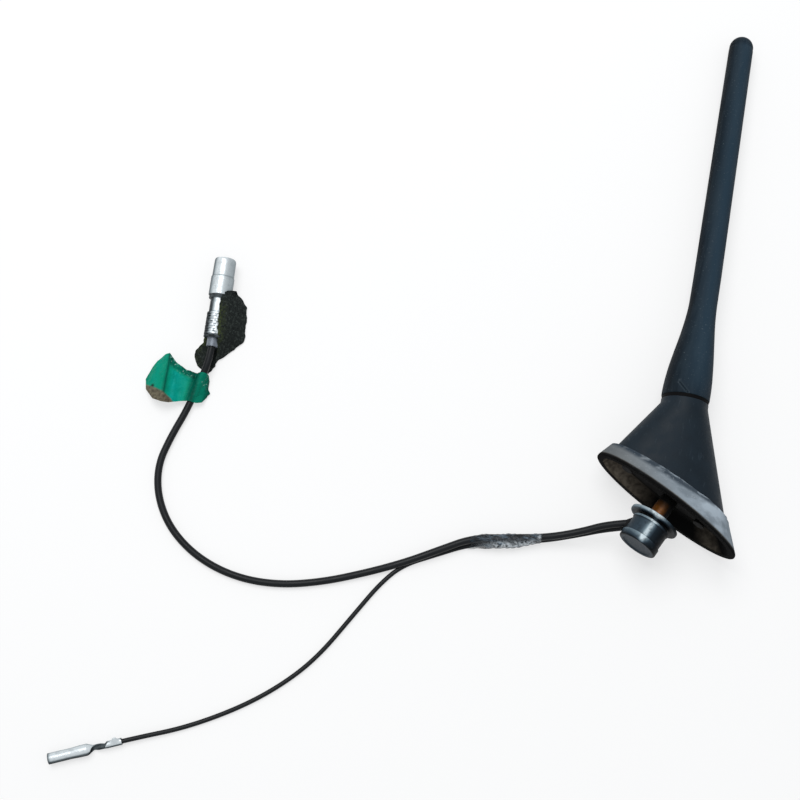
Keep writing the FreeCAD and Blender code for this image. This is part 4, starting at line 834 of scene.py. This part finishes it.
# Painted light and shade along the tent: a dark crease, painted highlight and shade in stripes round the
# roll, darker along the curled top edge and at one spot.
shade_line = np.interp(s, [0, 0.03, 0.08, 0.14, 0.19, 0.24, 0.3, 0.5, 0.64, 0.69, 0.73, 0.85, 1],
                       [0.1, 0.2, 0.4, 0.42, 0.12, 0.3, 0.7, 0.9, 0.6, 0.2, 0.6, 0.68, 0.45])
spot = bell(flag_points[:, :, 0], -232.6, 0.7) * bell(flag_points[:, :, 1], -103.5, 0.7)
hem = np.clip((t - 0.76) / 0.1, 0, 1) * (s > 0.22) * (s < 0.66)
flag_shade = np.clip(shade_line - 0.45 * hem - spot, 0, 1)
flag = skin("flag_tape", flag_points, loop_columns=False, gummed=gummed, depth=flag_shade,
            sparkle=np.clip(curled + bell(s, 0.08, 0.025) * bell(t, 0.66, 0.07), 0, 1))
stands_for(flag, "marker_flag")
tree, shader, where = material("flag_green", flag, 0.45, specular=0.08)
tone = ramp(tree, marked(tree, "depth"), (0.0, paint(0, 50, 40)), (0.3, paint(0, 104, 84)),
            (0.6, paint(0, 150, 120)), (0.8, paint(0, 160, 142)), (1.0, paint(0, 164, 156)))
cloud = patches(tree, where, 3.0, 0.45, 0.7)
tone = between(tree, scaled(tree, cloud, 0.35), tone, paint(0, 132, 108))
crumbs = patches(tree, where, 1.3, 0.35, 0.65, 6.0)
gum = between(tree, crumbs, paint(84, 78, 66), paint(122, 115, 96))
tone = between(tree, marked(tree, "gummed"), tone, gum)
# Painted glints where the corner curls and near the roll.
glints = scaled(tree, marked(tree, "sparkle"), patches(tree, where, 1.1, 0.56, 0.64, 2.0))
coloured(tree, shader, between(tree, scaled(tree, glints, 0.75), tone, paint(190, 236, 222)))
bumped(tree, shader, patches(tree, where, 1.5, 0.3, 0.7), 0.2)

# Terminal
# A tinned crimp terminal rolled from one strip: wings round the wire, one with a raised corner, a narrow
# twisted neck and a round barrel, open at its tip.
TERMINAL_REAR = np.array([-206.6152, -254.4, 2.3])
TERMINAL_WAY = np.array([-0.902585, -0.430511, 0])
TERMINAL_AXES = np.array([TERMINAL_WAY, [-TERMINAL_WAY[1], TERMINAL_WAY[0], 0], [0, 0, 1]])
TERMINAL_LENGTH = 30.8
reach_along = np.linspace(0, TERMINAL_LENGTH, 180)[:, None]
# Along the strip: the radius it is rolled to, half the angle it is rolled through, and its twist.
bend = np.interp(reach_along, [0, 6.2, 7.6, 12.0, 14.6, 17.5, 21, TERMINAL_LENGTH],
                 [1.3, 1.3, 1.15, 1.15, 2.3, 2.3, 2.1, 2.15])
half_angle = np.radians(np.interp(reach_along, [0, 0.6, 5.6, 7.2, 11.6, 14.4, TERMINAL_LENGTH],
                                  [150, 168, 168, 80, 80, 172, 172]))
twist = np.radians(np.interp(reach_along, [0, 6.6, 13.5, TERMINAL_LENGTH], [60, 60, -75, -75]))
across = np.linspace(-1, 1, 60)[None, :]
wing = bell(reach_along, 2.6, 1.3) * np.clip((across - 0.6) / 0.4, 0, 1) ** 2
bend_there = bend * (1 + 1.5 * wing)
roll = across * half_angle + twist
level = np.interp(reach_along, [0, 6.2, 12.0, 14.6, TERMINAL_LENGTH], [0, 0, 0, 0.1, 0])
terminal_grid = np.stack([np.broadcast_to(reach_along, roll.shape), bend_there * np.sin(roll),
                          level - bend_there * np.cos(roll)], axis=2)
# Painted light round the strip: a painted highlight on one side of its roll, a dark lower edge, painted
# shade in its open tip, and darker at the neck.
terminal_clean = np.interp(np.mod(np.degrees(roll), 360),
                           [0, 60, 90, 125, 143, 156, 180, 230, 262, 300, 360],
                           [0.3, 0.1, 0.04, 0.1, 0.35, 0.95, 1.0, 0.9, 0.5, 0.4, 0.3])
dark_tip, dull_neck = bell(reach_along, TERMINAL_LENGTH, 0.9), bell(reach_along, 10, 2.2)
terminal_clean = terminal_clean * (1 - 0.7 * dark_tip) * (1 - 0.35 * dull_neck)
terminal_points = placed(terminal_grid, TERMINAL_REAR, TERMINAL_AXES)
terminal = skin("terminal_strip", terminal_points, loop_columns=False, clean=terminal_clean)
wall = terminal.modifiers.new("wall", "SOLIDIFY")
wall.thickness = 0.35 * MM
wall.offset = 0
stands_for(terminal, "wire_terminal")
nickel("terminal_tin", terminal, 0.3)

bpy.context.view_layer.update()
